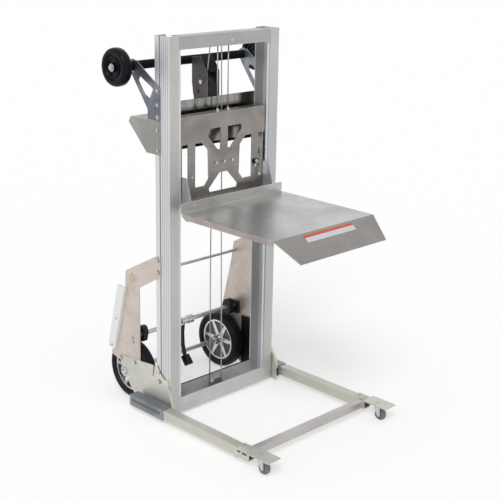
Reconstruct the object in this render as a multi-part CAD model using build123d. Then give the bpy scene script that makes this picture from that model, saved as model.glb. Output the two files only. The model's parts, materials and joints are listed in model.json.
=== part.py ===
from build123d import *
from collections import namedtuple
from math import acos, atan2, cos, degrees, pi, radians, sin, tan
import os

# Portable load lifter: a mast on wheels with a platform that a cable winch lifts.
# Millimetres. X to the right seen from the platform side, platform towards -Y, Z up.
# Local Y is counted from the front face of the mast, and everything is shifted at
# the end so that the origin lies under the middle of the whole lifter.

# Clearances
BOLT_GAP = 0.1
RUN_GAP = 0.05
PART_GAP = 0.3

# Mast
MAST_TOP = 1560.0
MAST_FOOT = 14.0
MAST_HALF = 296.0
MAST_DEPTH = 85.0
UPRIGHT_FACE = 48.0
LIP_REACH = 61.0
LIP_SET_BACK = 4.0
RAIL_FRONT = 8.0
RAIL_WALL = 4.0
REAR_FLANGE = 53.0
GROOVE_LOW = 54.0
GROOVE_HIGH = 60.0
GROOVE_DEPTH = 1.5
CROSSBAR_SET = 2.0
CROSSBAR_HEIGHT = 50.0
CROSSBAR_DEPTH = 60.0
SHEET = 3.0
CHANNEL_FRONT_HEIGHT = 64.0
CHANNEL_REAR_HEIGHT = 76.0
PLATE = 4.0

# Rear panel and console
CONSOLE_DROP = 328.0
CONSOLE_HEIGHT = 131.0
CONSOLE_DEPTH = 145.0
CONSOLE_BULGE = 13.0
CONSOLE_LIP = 22.0
CONSOLE_FOOT = 48.0
CHEEK_LAP = 32.0
PANEL_RISE = 65.0
PANEL_HEIGHT = 184.0
PANEL_EDGE = 6.0

# Handlebar and top wheels
BAR_BACK = 128.0
BAR_RISE = 200.0
BAR_R = 12.7
BAR_WALL = 2.0
BAR_REACH = 49.0
FOAM_R = 17.5
BAR_BOSS_R = 26.0
BRACKET_ROUND = 7.0
TOP_WHEEL_R = 75.0
TOP_WHEEL_WIDTH = 50.0
TOP_WHEEL_OUT = 33.0
TOP_BOLT_R = 6.0

# Wheel brackets, axle and rear wheels
AXLE_BACK = 202.0
WHEEL_R = 127.0
WHEEL_INSET = 40.0
TYRE_WIDTH = 58.0
RIM_R = 93.0
RIM_WALL = 7.0
HUB_BOSS_R = 22.0
HUB_WIDTH = 60.0
SPOKES = 6
SPOKE_WIDTH = 18.0
AXLE_R = 10.0
AXLE_BOSS_R = 26.0
CROSS_ROD_FORE = 52.0
CROSS_ROD_RISE = 431.0
CROSS_ROD_R = 6.5
CAP_R = 14.0
SKID_SHIFT = 50.0
SMALL_HOLE_R = 2.5
SKID_THICK = 12.0
RIM_REACH = 9.0

# Legs and casters
LEG_OUTSET = 44.0
LEG_SIZE = 40.0
LEG_TOP = 68.0
LEG_FRONT = -521.0
LEG_REAR = 160.0
SLEEVE_FRONT = -28.0
SLEEVE_REAR = 183.0
CROSS_TUBE = 30.0
SLOT_LENGTH = 54.0
SLOT_BACK = 32.0
SLOT_DROP = 14.0
SLOT_HALF_HEIGHT = 5.0
END_PLATE_LENGTH = 74.0
CASTER_OUTSET = 3.0
CASTER_FORE = 54.0
CASTER_TRAIL = 16.0
CASTER_R = 25.5
CASTER_WIDTH = 20.0
CASTER_PLATE = 5.0
CASTER_PLATE_HALF = 34.0
CASTER_PLATE_FORE = 67.0
TONGUE = 60.0
KING_PIN_R = 5.0
CASTER_AXLE_R = 4.0

# Brake
BRAKE_FORE = 57.0
BRAKE_RISE = 46.0
BRAKE_R = 10.0
PEDAL_X = -8.0
PEDAL_WIDTH = 66.0
PEDAL_DROP = 194.0
PEDAL_REACH = 36.0
COLLAR_WALL = 6.0
SHOE_IN = 18.0
SHOE_OUT = 6.0

# Cables and sheaves
CABLE_R = 2.5
HEAD_R = 20.0
HEAD_Y = 38.5
HEAD_DROP = 27.0
HEAD_RIM = 3.5
HEAD_AXLE_R = 6.0
LIFT_X = -30.0
LOOP_X = 28.0
FOOT_R = 34.0
FOOT_Y = 40.0
FOOT_RISE = 44.0
FOOT_RIM = 4.0
FOOT_PIN_R = 6.0
SHEAVE_WIDTH = 11.0
HANGER_REACH = 16.0

# Winch
WINCH_LEFT = -20.0
WINCH_RIGHT = 46.0
WINCH_DEPTH = 93.0
WINCH_FOOT = 72.0
WINCH_HEEL = 112.0
DRIVE_BACK = 36.0
DRIVE_RISE = 121.0
DRIVE_R = 6.0
STUB_LENGTH = 29.0
STUB_R = 5.0
GEAR_MODULE = 1.5
WHEEL_TEETH = 48
PINION_TEETH = 16
TOOTH_PLAY = 0.35
GEAR_LEFT = 18.0
GEAR_WIDTH = 12.0
DRUM_ANGLE = -57.7
DRUM_R = 22.0
DRUM_FLANGE_R = 34.0
DRUM_SHAFT_R = 8.0
COVER_BACK = 119.0
COVER_RISE = 90.0
COVER_R = 112.0
COVER_SHEET = 2.0
COVER_LEFT = -15.5
COVER_RIGHT = 41.5

# Carriage and platform
DECK_DROP = 674.0
CARRIAGE_HEIGHT = 362.0
BAND_HEIGHT = 110.0
BAND_GAP = 4.0
STRIP_INSET = 28.0
LOW_BAND = 69.0
WINDOW_SPAN = 194.0
CARRIAGE_FRONT = 8.0
FLANGE_REACH = 40.0
SIDE_GAP = 9.0
SIDE_REAR = 70.0
SIDE_RISE = 14.0
ROLLER_PLAY = 0.5
ROLLER_WIDTH = 30.0
ROLLER_INSET = 27.0
ROLLER_DROP = 43.0
ROLLER_SPACING = 155.0
ROLLER_AXLE_R = 8.0
DECK_INSET = 15.5
DECK_BACK = -51.0
DECK_DEPTH = 497.0
BACK_FLANGE = 40.0
SKIRT = 22.0
FLAP_REACH = 102.0
FLAP_DROP = 72.0
FLAP_TAPER = 40.5
ARM_SHORT = 48.0
ARM_LEDGE = 17.0
ARM_RISE = 127.0
ARM_SHOULDER = 44.0
ARM_CREST = 29.0
BUMPER_RISE = 126.0
BUMPER_HEIGHT = 18.0
BUMPER_WIDTH = 28.0
BUMPER_THICK = 8.0

# Fasteners
M8_R = 4.0
M6_R = 3.0
RIVET_R = 3.5
FLUSH_HEAD = 1.2

# Places that follow from the sizes above: heights
AXLE_Z = WHEEL_R
CROSS_ROD_Z = AXLE_Z + CROSS_ROD_RISE
BRAKE_Z = AXLE_Z + WHEEL_R + BRAKE_RISE
PEDAL_LOW = BRAKE_Z - PEDAL_DROP
LEG_LOW = LEG_TOP - LEG_SIZE
SLEEVE_LOW = LEG_LOW - PART_GAP - SHEET
SLEEVE_TOP = LEG_TOP + PART_GAP + SHEET
SHELF_LOW = SLEEVE_LOW - SHEET
SLOT_Z = LEG_TOP - SLOT_DROP
CROSSBAR_HIGH = MAST_TOP - CROSSBAR_SET
CROSSBAR_LOW = CROSSBAR_HIGH - CROSSBAR_HEIGHT
HEAD_Z = CROSSBAR_HIGH - HEAD_DROP
FOOT_Z = MAST_FOOT + FOOT_RISE
CONSOLE_TOP = MAST_TOP - CONSOLE_DROP
CONSOLE_LOW = CONSOLE_TOP - CONSOLE_HEIGHT
PANEL_HIGH = CONSOLE_TOP + PANEL_RISE
BAR_Z = CONSOLE_TOP + BAR_RISE
DRIVE_Z = CONSOLE_TOP + DRIVE_RISE
COVER_Z = CONSOLE_TOP + COVER_RISE
WINCH_FLOOR = CONSOLE_TOP + PLATE
DECK_TOP = MAST_TOP - DECK_DROP
DECK_LOW = DECK_TOP - SHEET
CARRIAGE_LOW = DECK_TOP
CARRIAGE_TOP = CARRIAGE_LOW + CARRIAGE_HEIGHT
BAND_LOW = CARRIAGE_TOP - BAND_HEIGHT
ROLLER_HIGH = CARRIAGE_TOP - ROLLER_DROP
ROLLER_LOW = ROLLER_HIGH - ROLLER_SPACING
ANCHOR_TOP = CARRIAGE_TOP + 14
ANCHOR_LOW = CARRIAGE_LOW - 10

# Places across the lifter
FRAME_X = MAST_HALF + PLATE
BASE_X = FRAME_X + PLATE
LIP_X = MAST_HALF - LIP_REACH
FACE_X = MAST_HALF - UPRIGHT_FACE
RAIL_X = MAST_HALF - RAIL_WALL
PANEL_HALF = MAST_HALF - PANEL_EDGE
BAR_HALF = MAST_HALF + BAR_REACH
TOP_WHEEL_X = BAR_HALF + TOP_WHEEL_OUT
WHEEL_X = MAST_HALF - WHEEL_INSET
LEG_X = MAST_HALF + LEG_OUTSET
LEG_IN = LEG_X - LEG_SIZE / 2
LEG_OUT = LEG_X + LEG_SIZE / 2
SLEEVE_IN = LEG_IN - PART_GAP - SHEET
SLEEVE_OUT = LEG_OUT + PART_GAP + SHEET
CASTER_X = LEG_X + CASTER_OUTSET
BAND_HALF = LIP_X - BAND_GAP
SIDE_X = LIP_X - SIDE_GAP
SIDE_IN = SIDE_X - PLATE
STRIP_HALF = SIDE_IN - STRIP_INSET
ROLLER_X = MAST_HALF - ROLLER_INSET
DECK_HALF = MAST_HALF - DECK_INSET
FLAP_HALF = DECK_HALF - FLAP_TAPER
ARM_OUT = SIDE_X + PLATE
ARM_X = SIDE_X + ARM_LEDGE
FOOT_X = LOOP_X - FOOT_R
DOWN_X = FOOT_X - FOOT_R

# Places from front to back
RAIL_REAR = MAST_DEPTH - RAIL_WALL
ROLLER_Y = (RAIL_FRONT + RAIL_REAR) / 2
ROLLER_R = (RAIL_REAR - RAIL_FRONT) / 2 - ROLLER_PLAY
PANEL_Y = MAST_DEPTH + SHEET
CHEEK_Y = MAST_DEPTH - CHEEK_LAP
CONSOLE_REAR = MAST_DEPTH + CONSOLE_DEPTH
BAR_Y = MAST_DEPTH + BAR_BACK
AXLE_Y = MAST_DEPTH + AXLE_BACK
CROSS_ROD_Y = AXLE_Y - CROSS_ROD_FORE
BRAKE_Y = AXLE_Y - BRAKE_FORE
WINCH_REAR = PANEL_Y + WINCH_DEPTH
DRIVE_Y = PANEL_Y + DRIVE_BACK
COVER_Y = PANEL_Y + COVER_BACK
GEAR_SPAN = GEAR_MODULE * (WHEEL_TEETH + PINION_TEETH) / 2
DRUM_Y = DRIVE_Y + GEAR_SPAN * cos(radians(DRUM_ANGLE))
DRUM_Z = DRIVE_Z + GEAR_SPAN * sin(radians(DRUM_ANGLE))
SLOT_Y = LEG_FRONT + SLOT_BACK
CASTER_Y = LEG_FRONT - CASTER_FORE
CASTER_PLATE_FRONT = CASTER_Y - CASTER_PLATE_FORE
PLATE_BACK = CARRIAGE_FRONT + PLATE
FLANGE_BACK = PLATE_BACK + FLANGE_REACH
FLANGE_Y = DECK_BACK + SHEET
DECK_FRONT = DECK_BACK - DECK_DEPTH
FLAP_FRONT = DECK_FRONT - FLAP_REACH
ARM_FRONT = DECK_FRONT + ARM_SHORT
SHIFT_Y = -(AXLE_Y + WHEEL_R + FLAP_FRONT) / 2

Bolt = namedtuple("Bolt", "point direction grip radius")


def block(x0, x1, y0, y1, z0, z1):
    middle = Pos((x0 + x1) / 2, (y0 + y1) / 2, (z0 + z1) / 2)
    return middle * Box(abs(x1 - x0), abs(y1 - y0), abs(z1 - z0))


def side_sheet(points, x0, x1):
    """A sheet drawn in Y and Z, from x0 to x1."""
    return extrude(Plane.YZ.offset(x0) * Polygon(*points, align=None), amount=x1 - x0, dir=(1, 0, 0))


def front_sheet(points, y_front, y_back):
    """A sheet drawn in X and Z, from y_front back to y_back."""
    plane = Plane(origin=(0, y_back, 0), x_dir=(1, 0, 0), z_dir=(0, -1, 0))
    return extrude(plane * Polygon(*points, align=None), amount=y_back - y_front, dir=(0, -1, 0))


def turned(profile, centre, axis="X"):
    """A turned piece: its profile is (place along the axis, radius)."""
    piece = revolve(Polygon(*profile, align=None), axis=Axis.X)
    turn = {"X": Rot(0, 0, 0), "Y": Rot(0, 0, 90), "Z": Rot(0, -90, 0)}[axis]
    return Pos(*centre) * turn * piece


def rod(centre, axis, radius, low, high, bore=0.0):
    """A rod or a tube along one axis, from low to high."""
    return turned([(low, bore), (high, bore), (high, radius), (low, radius)], centre, axis)


def rod_x(y, z, radius, x0, x1, bore=0.0):
    return rod((0, y, z), "X", radius, min(x0, x1), max(x0, x1), bore)


def around(y, z, *offsets):
    """Points in Y and Z, given as offsets from one place."""
    return [(y + along, z + up) for along, up in offsets]


def mirrored(shape):
    return mirror(shape, about=Plane.YZ)


def both(shape):
    return [shape, mirrored(shape)]


def bolt_solid(bolt):
    """A hexagon bolt: its head stands on the point, its shank runs back into the grip."""
    head = extrude(RegularPolygon(bolt.radius * 1.75, 6), amount=bolt.radius * 1.2)
    shank = Pos(0, 0, -bolt.grip / 2) * Cylinder(bolt.radius, bolt.grip)
    return Plane(origin=bolt.point, z_dir=bolt.direction) * (head + shank)


def mirrored_bolt(bolt):
    x, y, z = bolt.point
    across, along, up = bolt.direction
    return Bolt((-x, y, z), (-across, along, up), bolt.grip, bolt.radius)


def rivet_solid(bolt):
    """A rivet: a low round head and a shank."""
    head = Pos(0, 0, 1) * Cylinder(bolt.radius * 2, 2)
    head = chamfer(head.edges().group_by(Axis.Z)[-1], 1)
    shank = Pos(0, 0, -bolt.grip / 2) * Cylinder(bolt.radius, bolt.grip)
    return Plane(origin=bolt.point, z_dir=bolt.direction) * (head + shank)


def drilled(shape, bolts):
    """The shape with a clearance hole for the shank of each bolt."""
    for bolt in bolts:
        hole = Pos(0, 0, -bolt.grip / 2) * Cylinder(bolt.radius + BOLT_GAP, bolt.grip + 2)
        shape = shape - Plane(origin=bolt.point, z_dir=bolt.direction) * hole
    return shape


def save(name, *pieces):
    solids = [solid for piece in pieces for solid in piece.solids()]
    export_step(Pos(0, SHIFT_Y, 0) * Compound(solids), f"parts/{name}.step")


def side_bolts(places, x, grip, radius=M8_R):
    return [Bolt((x, y, z), (1, 0, 0), grip, radius) for y, z in places]


# Uprights: C-shaped rails, open towards each other. Each is three walls that meet face to face:
# a ribbed side, a front flange with its lip, and a rear flange.
def upright_side():
    wall = block(RAIL_X, MAST_HALF, 0, MAST_DEPTH, MAST_FOOT, MAST_TOP)
    groove = block(MAST_HALF - GROOVE_DEPTH, MAST_HALF + 1, GROOVE_LOW, GROOVE_HIGH, MAST_FOOT, MAST_TOP)
    wall = wall - groove
    for rib in range(1, 5):
        y = GROOVE_LOW * rib / 5
        cut = block(MAST_HALF - 0.6, MAST_HALF + 1, y - 1, y + 1, MAST_FOOT, MAST_TOP)
        wall = wall - cut
    return wall


def upright_front():
    face = block(FACE_X, RAIL_X, 0, RAIL_FRONT, MAST_FOOT, MAST_TOP)
    return face + block(LIP_X, FACE_X, LIP_SET_BACK, RAIL_FRONT, MAST_FOOT, MAST_TOP)


def upright_rear():
    return block(MAST_HALF - REAR_FLANGE, RAIL_X, RAIL_REAR, MAST_DEPTH, MAST_FOOT, MAST_TOP)


rail_grip = 2 * PLATE + 2
seam_y = MAST_DEPTH - CHEEK_LAP / 2 - 4
handle_bolts = side_bolts(around(seam_y, CONSOLE_TOP, (-1, 119), (-1, 65), (-1, 18)), FRAME_X, rail_grip)
console_bolts = side_bolts(around(seam_y, CONSOLE_TOP, (0, -32), (0, -111)), FRAME_X, rail_grip)
bracket_bolts = side_bolts(around(seam_y + 4, CROSS_ROD_Z, (0, 114), (0, 64)), FRAME_X, rail_grip)
foot_bolts = side_bolts([(25, 60), (seam_y - 5, 150)], BASE_X, rail_grip + PLATE)
joint_bolts = side_bolts(around(AXLE_Y, AXLE_Z, (-68, 59), (24, 54)), BASE_X, 2 * PLATE)
skid_places = around(AXLE_Y, AXLE_Z, (43, 229), (77, 100))
skid_bolts = side_bolts(skid_places, FRAME_X + SKID_THICK, SKID_THICK + PLATE, M6_R)
right_skid_places = [(y - SKID_SHIFT, z) for y, z in skid_places]
right_skid_bolts = side_bolts(right_skid_places, FRAME_X + SKID_THICK, SKID_THICK + PLATE, M6_R)
brake_bolts = side_bolts(around(BRAKE_Y, BRAKE_Z, (7, -6), (4, -25)), FRAME_X, PLATE + 5, M6_R)
rail_bolts = handle_bolts + console_bolts + bracket_bolts + foot_bolts

right_side = drilled(upright_side(), rail_bolts)
save("mast_uprights", *both(right_side), *both(upright_front()), *both(upright_rear()))

# Top crossbar with the hangers of the head sheaves
crossbar_rivet = Bolt((31, 0, CROSSBAR_LOW + 20), (0, -1, 0), PLATE + 2, RIVET_R)
crossbar = block(-FACE_X, FACE_X, 0, PLATE, CROSSBAR_LOW, CROSSBAR_HIGH)
crossbar_flange = block(1 - LIP_X, LIP_X - 1, PLATE, CROSSBAR_DEPTH, CROSSBAR_HIGH - SHEET, CROSSBAR_HIGH)
crossbar = crossbar + crossbar_flange
save("top_crossbar", drilled(crossbar, [crossbar_rivet]))


def hanger(x):
    plate = block(x - 1.5, x + 1.5, PLATE, CROSSBAR_DEPTH, CROSSBAR_LOW + 4, CROSSBAR_HIGH - SHEET)
    return plate - rod_x(HEAD_Y, HEAD_Z, HEAD_AXLE_R + BOLT_GAP, x - 3, x + 3)


hanger_places = [LIFT_X - HANGER_REACH, LIFT_X + HANGER_REACH, LOOP_X - HANGER_REACH, LOOP_X + HANGER_REACH]
save("sheave_hangers", *[hanger(x) for x in hanger_places])
axle_left = hanger_places[0] - 5
axle_right = hanger_places[-1] + 5
save("head_sheave_axle", rod_x(HEAD_Y, HEAD_Z, HEAD_AXLE_R, axle_left, axle_right))


def sheave(pitch, rim, bore, centre, axis):
    """A grooved wheel whose cable runs at the pitch radius."""
    half = SHEAVE_WIDTH / 2
    floor = pitch - CABLE_R - PART_GAP
    groove = CABLE_R + 4 * PART_GAP
    side = [(half, bore), (half, pitch + rim), (half - 1, pitch + rim), (groove, pitch), (groove, floor)]
    other_side = [(-x, radius) for x, radius in reversed(side)]
    return turned(side + other_side, centre, axis)


head_bore = HEAD_AXLE_R + RUN_GAP
save(
    "head_sheaves",
    sheave(HEAD_R, HEAD_RIM, head_bore, (LIFT_X, HEAD_Y, HEAD_Z), "X"),
    sheave(HEAD_R, HEAD_RIM, head_bore, (LOOP_X, HEAD_Y, HEAD_Z), "X"),
)

# Bottom channel between the uprights, with the sheave that turns the loop cable
channel = block(-FACE_X, FACE_X, 0, PLATE, MAST_FOOT, MAST_FOOT + CHANNEL_FRONT_HEIGHT)
channel = channel + block(1 - LIP_X, LIP_X - 1, PLATE, RAIL_REAR, MAST_FOOT, MAST_FOOT + SHEET)
rear_edge = MAST_HALF - REAR_FLANGE
channel_top = MAST_FOOT + CHANNEL_REAR_HEIGHT
channel = channel + block(-rear_edge, rear_edge, RAIL_REAR, MAST_DEPTH, MAST_FOOT, channel_top)
save("bottom_channel", channel)
save("bottom_sheave", sheave(FOOT_R, FOOT_RIM, FOOT_PIN_R + RUN_GAP, (FOOT_X, FOOT_Y, FOOT_Z), "Y"))


def foot_cheek(y):
    low = MAST_FOOT + SHEET
    top = FOOT_Z + FOOT_R
    half = FOOT_R - 8
    side = [(half, low), (half, top - 16), (half - 12, top)]
    other_side = [(-x, z) for x, z in reversed(side)]
    corners = [(FOOT_X + x, z) for x, z in side + other_side]
    cheek = front_sheet(corners, y - 1.5, y + 1.5)
    return cheek - rod((FOOT_X, 0, FOOT_Z), "Y", FOOT_PIN_R + BOLT_GAP, y - 3, y + 3)


cheek_reach = SHEAVE_WIDTH / 2 + 3
foot_pin = rod((FOOT_X, FOOT_Y, FOOT_Z), "Y", FOOT_PIN_R, -cheek_reach - 4, cheek_reach + 4)
save("bottom_sheave_bracket", foot_cheek(FOOT_Y - cheek_reach), foot_cheek(FOOT_Y + cheek_reach), foot_pin)

# Rear panel, console and handle brackets
save("rear_panel", block(-PANEL_HALF, PANEL_HALF, MAST_DEPTH, PANEL_Y, PANEL_HIGH - PANEL_HEIGHT, PANEL_HIGH))


def console():
    """A folded housing: two cheeks beside the mast, a flat top, and a back that slopes in."""
    bulge_y = CONSOLE_REAR + CONSOLE_BULGE
    bulge_z = CONSOLE_TOP - CONSOLE_LIP
    foot_y = MAST_DEPTH + CONSOLE_FOOT
    shell = [(CHEEK_Y, CONSOLE_TOP), (CONSOLE_REAR, CONSOLE_TOP), (bulge_y, bulge_z)]
    shell += [(foot_y, CONSOLE_LOW), (CHEEK_Y, CONSOLE_LOW)]
    space = [(CHEEK_Y - 10, CONSOLE_TOP - SHEET), (CONSOLE_REAR - SHEET / 2, CONSOLE_TOP - SHEET)]
    space += [(bulge_y - 1.4 * SHEET, bulge_z), (foot_y - SHEET / 2, CONSOLE_LOW + SHEET)]
    space += [(CHEEK_Y - 10, CONSOLE_LOW + SHEET)]
    body = side_sheet(shell, -FRAME_X, FRAME_X) - side_sheet(space, -MAST_HALF, MAST_HALF)
    mast_room = block(-MAST_HALF, MAST_HALF, 0, PANEL_Y, CONSOLE_LOW - 10, CONSOLE_TOP + 10)
    body = body - mast_room
    return drilled(body, console_bolts + [mirrored_bolt(b) for b in console_bolts])


save("console_cover", console())


def handle_bracket():
    foot = CONSOLE_TOP + SHEET
    outline = [(BAR_Y - 88, foot), (CHEEK_Y, foot), (CHEEK_Y, BAR_Z - 68)]
    outline += around(BAR_Y, BAR_Z, (-22, 23), (0, 21), (10, -30), (-88, -158))
    window = around(BAR_Y, BAR_Z, (-45, -36), (-123, -76), (-101, -116), (-71, -102), (-33, -52))
    plate = side_sheet(outline, MAST_HALF, FRAME_X) + rod_x(BAR_Y, BAR_Z, BAR_BOSS_R, MAST_HALF, FRAME_X)
    hollow = side_sheet(window, MAST_HALF - 1, FRAME_X + 1)
    plate = plate - fillet(hollow.edges().filter_by(Axis.X), BRACKET_ROUND)
    plate = plate - rod_x(BAR_Y, BAR_Z, BAR_R + BOLT_GAP, MAST_HALF - 1, FRAME_X + 1)
    return drilled(plate, handle_bolts)


save("handle_brackets", *both(handle_bracket()))

# Handlebar with foam, and a wheel on each end to roll the lifter into a vehicle
bar_bore = BAR_R - BAR_WALL
save("handlebar_tube", rod_x(BAR_Y, BAR_Z, BAR_R, -BAR_HALF, BAR_HALF, bar_bore))
foam_middle = rod_x(BAR_Y, BAR_Z, FOAM_R, -MAST_HALF, MAST_HALF, BAR_R)
foam_end = rod_x(BAR_Y, BAR_Z, FOAM_R, FRAME_X, BAR_HALF, BAR_R)
save("foam_grips", foam_middle, *both(foam_end))
hub_in = TOP_WHEEL_X - TOP_WHEEL_WIDTH / 2
hub_out = TOP_WHEEL_X + TOP_WHEEL_WIDTH / 2
plug_in = BAR_HALF - 30
plug = [(plug_in, TOP_BOLT_R), (hub_in - PART_GAP, TOP_BOLT_R), (hub_in - PART_GAP, BAR_R)]
plug += [(BAR_HALF, BAR_R), (BAR_HALF, bar_bore), (plug_in, bar_bore)]
end_plug = turned(plug, (0, BAR_Y, BAR_Z))
head_x = hub_out + PART_GAP
hub_bolt = Bolt((head_x, BAR_Y, BAR_Z), (1, 0, 0), head_x - plug_in - 5, TOP_BOLT_R)
save("top_wheel_bolts", *both(end_plug), *both(bolt_solid(hub_bolt)))


def top_wheel():
    half = TOP_WHEEL_WIDTH / 2
    bore = TOP_BOLT_R + RUN_GAP
    tread = half - 6
    side = [(half, bore), (half, 16), (half - 10, 18), (half - 12, TOP_WHEEL_R - 25)]
    side += [(tread - 8, TOP_WHEEL_R - 19), (tread - 6, TOP_WHEEL_R - 5), (tread - 12, TOP_WHEEL_R)]
    other_side = [(-x, radius) for x, radius in reversed(side)]
    return turned(side + other_side, (TOP_WHEEL_X, BAR_Y, BAR_Z))


save("top_wheel_right", top_wheel())
save("top_wheel_left", mirrored(top_wheel()))


# Wheel brackets: the upper plate hangs from the upright, the base plate carries the axle
arm_front = MAST_DEPTH - 30
bracket_top = [(arm_front, CROSS_ROD_Z + 127), (MAST_DEPTH - 2, CROSS_ROD_Z + 127)]
bracket_foot = around(AXLE_Y, AXLE_Z, (96, 55), (53, 41), (-97, 41))
bracket_nose = [(MAST_DEPTH - 1, CROSS_ROD_Z + 29), (arm_front, CROSS_ROD_Z + 39)]


def wheel_bracket(rear_edge, front_edge, bolts):
    outline = bracket_top + rear_edge + bracket_foot + front_edge + bracket_nose
    plate = side_sheet(outline, MAST_HALF, FRAME_X)
    plate = plate - rod_x(CROSS_ROD_Y, CROSS_ROD_Z, CROSS_ROD_R + BOLT_GAP, MAST_HALF - 1, FRAME_X + 1)
    return drilled(plate, bracket_bolts + joint_bolts + brake_bolts + bolts)


# The left plate is open behind the upright. The right one is closed and has small holes.
open_rear = [(AXLE_Y - 10, CROSS_ROD_Z + 22), (AXLE_Y - 1, AXLE_Z + 325), (AXLE_Y + 38, AXLE_Z + 170)]
open_plate = wheel_bracket(open_rear, [(AXLE_Y - 97, CROSS_ROD_Z - 33)], skid_bolts)
closed_rear = [(AXLE_Y - 36, CROSS_ROD_Z + 36), (AXLE_Y - 14, AXLE_Z + 325), (AXLE_Y + 24, AXLE_Z + 170)]
closed_front = [(MAST_DEPTH + 2, AXLE_Z + 60), (MAST_DEPTH + 2, CROSS_ROD_Z + 29)]
closed_plate = wheel_bracket(closed_rear, closed_front, right_skid_bolts)
hole_places = [(AXLE_Y - 123, AXLE_Z + 258 + 20 * turn) for turn in range(9)]
hole_places += around(AXLE_Y, AXLE_Z, (-13, 252), (-71, 267), (-42, 375), (-81, 356))
for y, z in hole_places:
    closed_plate = closed_plate - rod_x(y, z, SMALL_HOLE_R, MAST_HALF - 1, FRAME_X + 1)


def base_bracket():
    rear = [(MAST_DEPTH - 8, AXLE_Z + 85)]
    rear += around(AXLE_Y, AXLE_Z, (43, 65), (2, -6), (-44, -65), (-60, -80))
    rear += [(SLEEVE_REAR + 17, SHELF_LOW), (SLEEVE_REAR + 3, 10)]
    front = [(-30, 10), (-28, 62), (-22, 95), (-8, 122), (22, 160), (60, 187)]
    plate = side_sheet(rear + front, FRAME_X, BASE_X)
    plate = plate + rod_x(AXLE_Y, AXLE_Z, AXLE_BOSS_R, FRAME_X, BASE_X)
    shelf = block(BASE_X, SLEEVE_OUT, SLEEVE_FRONT, SLEEVE_REAR, SHELF_LOW, SLEEVE_LOW)
    pad = block(MAST_HALF, FRAME_X, RAIL_FRONT, MAST_DEPTH - 2, MAST_FOOT + 16, 165)
    inside = [(y + PLATE, z) for y, z in front[1:]]
    rim = side_sheet(front[1:] + inside[::-1], BASE_X, BASE_X + RIM_REACH)
    plate = plate + shelf + pad + rim
    plate = plate - rod_x(AXLE_Y, AXLE_Z, AXLE_R + BOLT_GAP, FRAME_X - 1, BASE_X + 1)
    notch = [(MAST_DEPTH + 4, 215), (MAST_DEPTH + 12, 215), (MAST_DEPTH + 19, 162), (MAST_DEPTH + 14, 160)]
    plate = plate - side_sheet(notch, FRAME_X - 1, BASE_X + 1)
    return drilled(plate, foot_bolts + joint_bolts)


save("wheel_brackets", closed_plate, mirrored(open_plate))
save("base_brackets", *both(base_bracket()))
rod_half = FRAME_X + 1
save("cross_rod", rod_x(CROSS_ROD_Y, CROSS_ROD_Z, CROSS_ROD_R, -rod_half, rod_half))
cap_bore = CROSS_ROD_R + BOLT_GAP
cap = [(FRAME_X, cap_bore), (rod_half, cap_bore), (rod_half, 0), (rod_half + 2, 0)]
cap += [(rod_half + 2, CAP_R - 2), (rod_half + 1, CAP_R), (FRAME_X, CAP_R)]
save("cross_rod_caps", *both(turned(cap, (0, CROSS_ROD_Y, CROSS_ROD_Z))))
skid_points = around(AXLE_Y, AXLE_Z, (-15, 380), (32, 381), (102, 90), (61, 84))
skid = drilled(side_sheet(skid_points, FRAME_X, FRAME_X + SKID_THICK), skid_bolts)
save("skid_strips", Pos(0, -SKID_SHIFT, 0) * skid, mirrored(skid))


# Legs in their sleeves, the cross tube, end plates and caster plates
def square_tube(x0, x1, y0, y1, z0, z1, wall):
    inner = block(x0 + wall, x1 - wall, y0 - 1, y1 + 1, z0 + wall, z1 - wall)
    return block(x0, x1, y0, y1, z0, z1) - inner


end_bolt = Bolt((LEG_OUT + SHEET, SLOT_Y, SLOT_Z), (1, 0, 0), 2 * SHEET + 2, M8_R)
tongue_rows = (LEG_FRONT + 13, LEG_FRONT + 45)
tongue_grip = CASTER_PLATE + SHEET + 2
tongue_bolts = [Bolt((LEG_X, y, LEG_TOP + CASTER_PLATE), (0, 0, 1), tongue_grip, M8_R) for y in tongue_rows]
leg = square_tube(LEG_IN, LEG_OUT, LEG_FRONT, LEG_REAR, LEG_LOW, LEG_TOP, SHEET)
save("legs", *both(drilled(leg, [end_bolt] + tongue_bolts)))
sleeve = square_tube(SLEEVE_IN, SLEEVE_OUT, SLEEVE_FRONT, SLEEVE_REAR, SLEEVE_LOW, SLEEVE_TOP, SHEET)
window_y = (SLEEVE_FRONT + 17, SLEEVE_REAR - 16)
sleeve_window = block(SLEEVE_OUT - SHEET - 0.1, SLEEVE_OUT + 1, *window_y, LEG_LOW + 14, LEG_TOP - 11)
save("leg_sleeves", *both(sleeve - sleeve_window))
cross_rear = LEG_FRONT + CROSS_TUBE
cross_tube = square_tube(LEG_FRONT, cross_rear, -LEG_IN, LEG_IN, LEG_TOP - CROSS_TUBE, LEG_TOP, BAR_WALL)
save("front_cross_tube", Rot(0, 0, 90) * cross_tube)


def end_plate():
    y0 = SLOT_Y - END_PLATE_LENGTH / 2
    y1 = SLOT_Y + END_PLATE_LENGTH / 2
    plate = block(LEG_OUT, LEG_OUT + SHEET, y0, y1, LEG_LOW + 8, LEG_TOP)
    tab = block(LEG_IN + 6, LEG_OUT + SHEET, y1 - 12, y1, LEG_LOW - SHEET, LEG_LOW)
    drop = block(LEG_OUT, LEG_OUT + SHEET, y1 - 12, y1, LEG_LOW - SHEET, LEG_LOW + 8)
    run = SLOT_LENGTH / 2 - SLOT_HALF_HEIGHT
    low = SLOT_Z - SLOT_HALF_HEIGHT
    high = SLOT_Z + SLOT_HALF_HEIGHT
    slot = block(LEG_OUT - 1, LEG_OUT + SHEET + 1, SLOT_Y - run, SLOT_Y + run, low, high)
    for y in (SLOT_Y - run, SLOT_Y + run):
        slot = slot + rod_x(y, SLOT_Z, SLOT_HALF_HEIGHT, LEG_OUT - 1, LEG_OUT + SHEET + 1)
    return plate + tab + drop - slot


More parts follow.
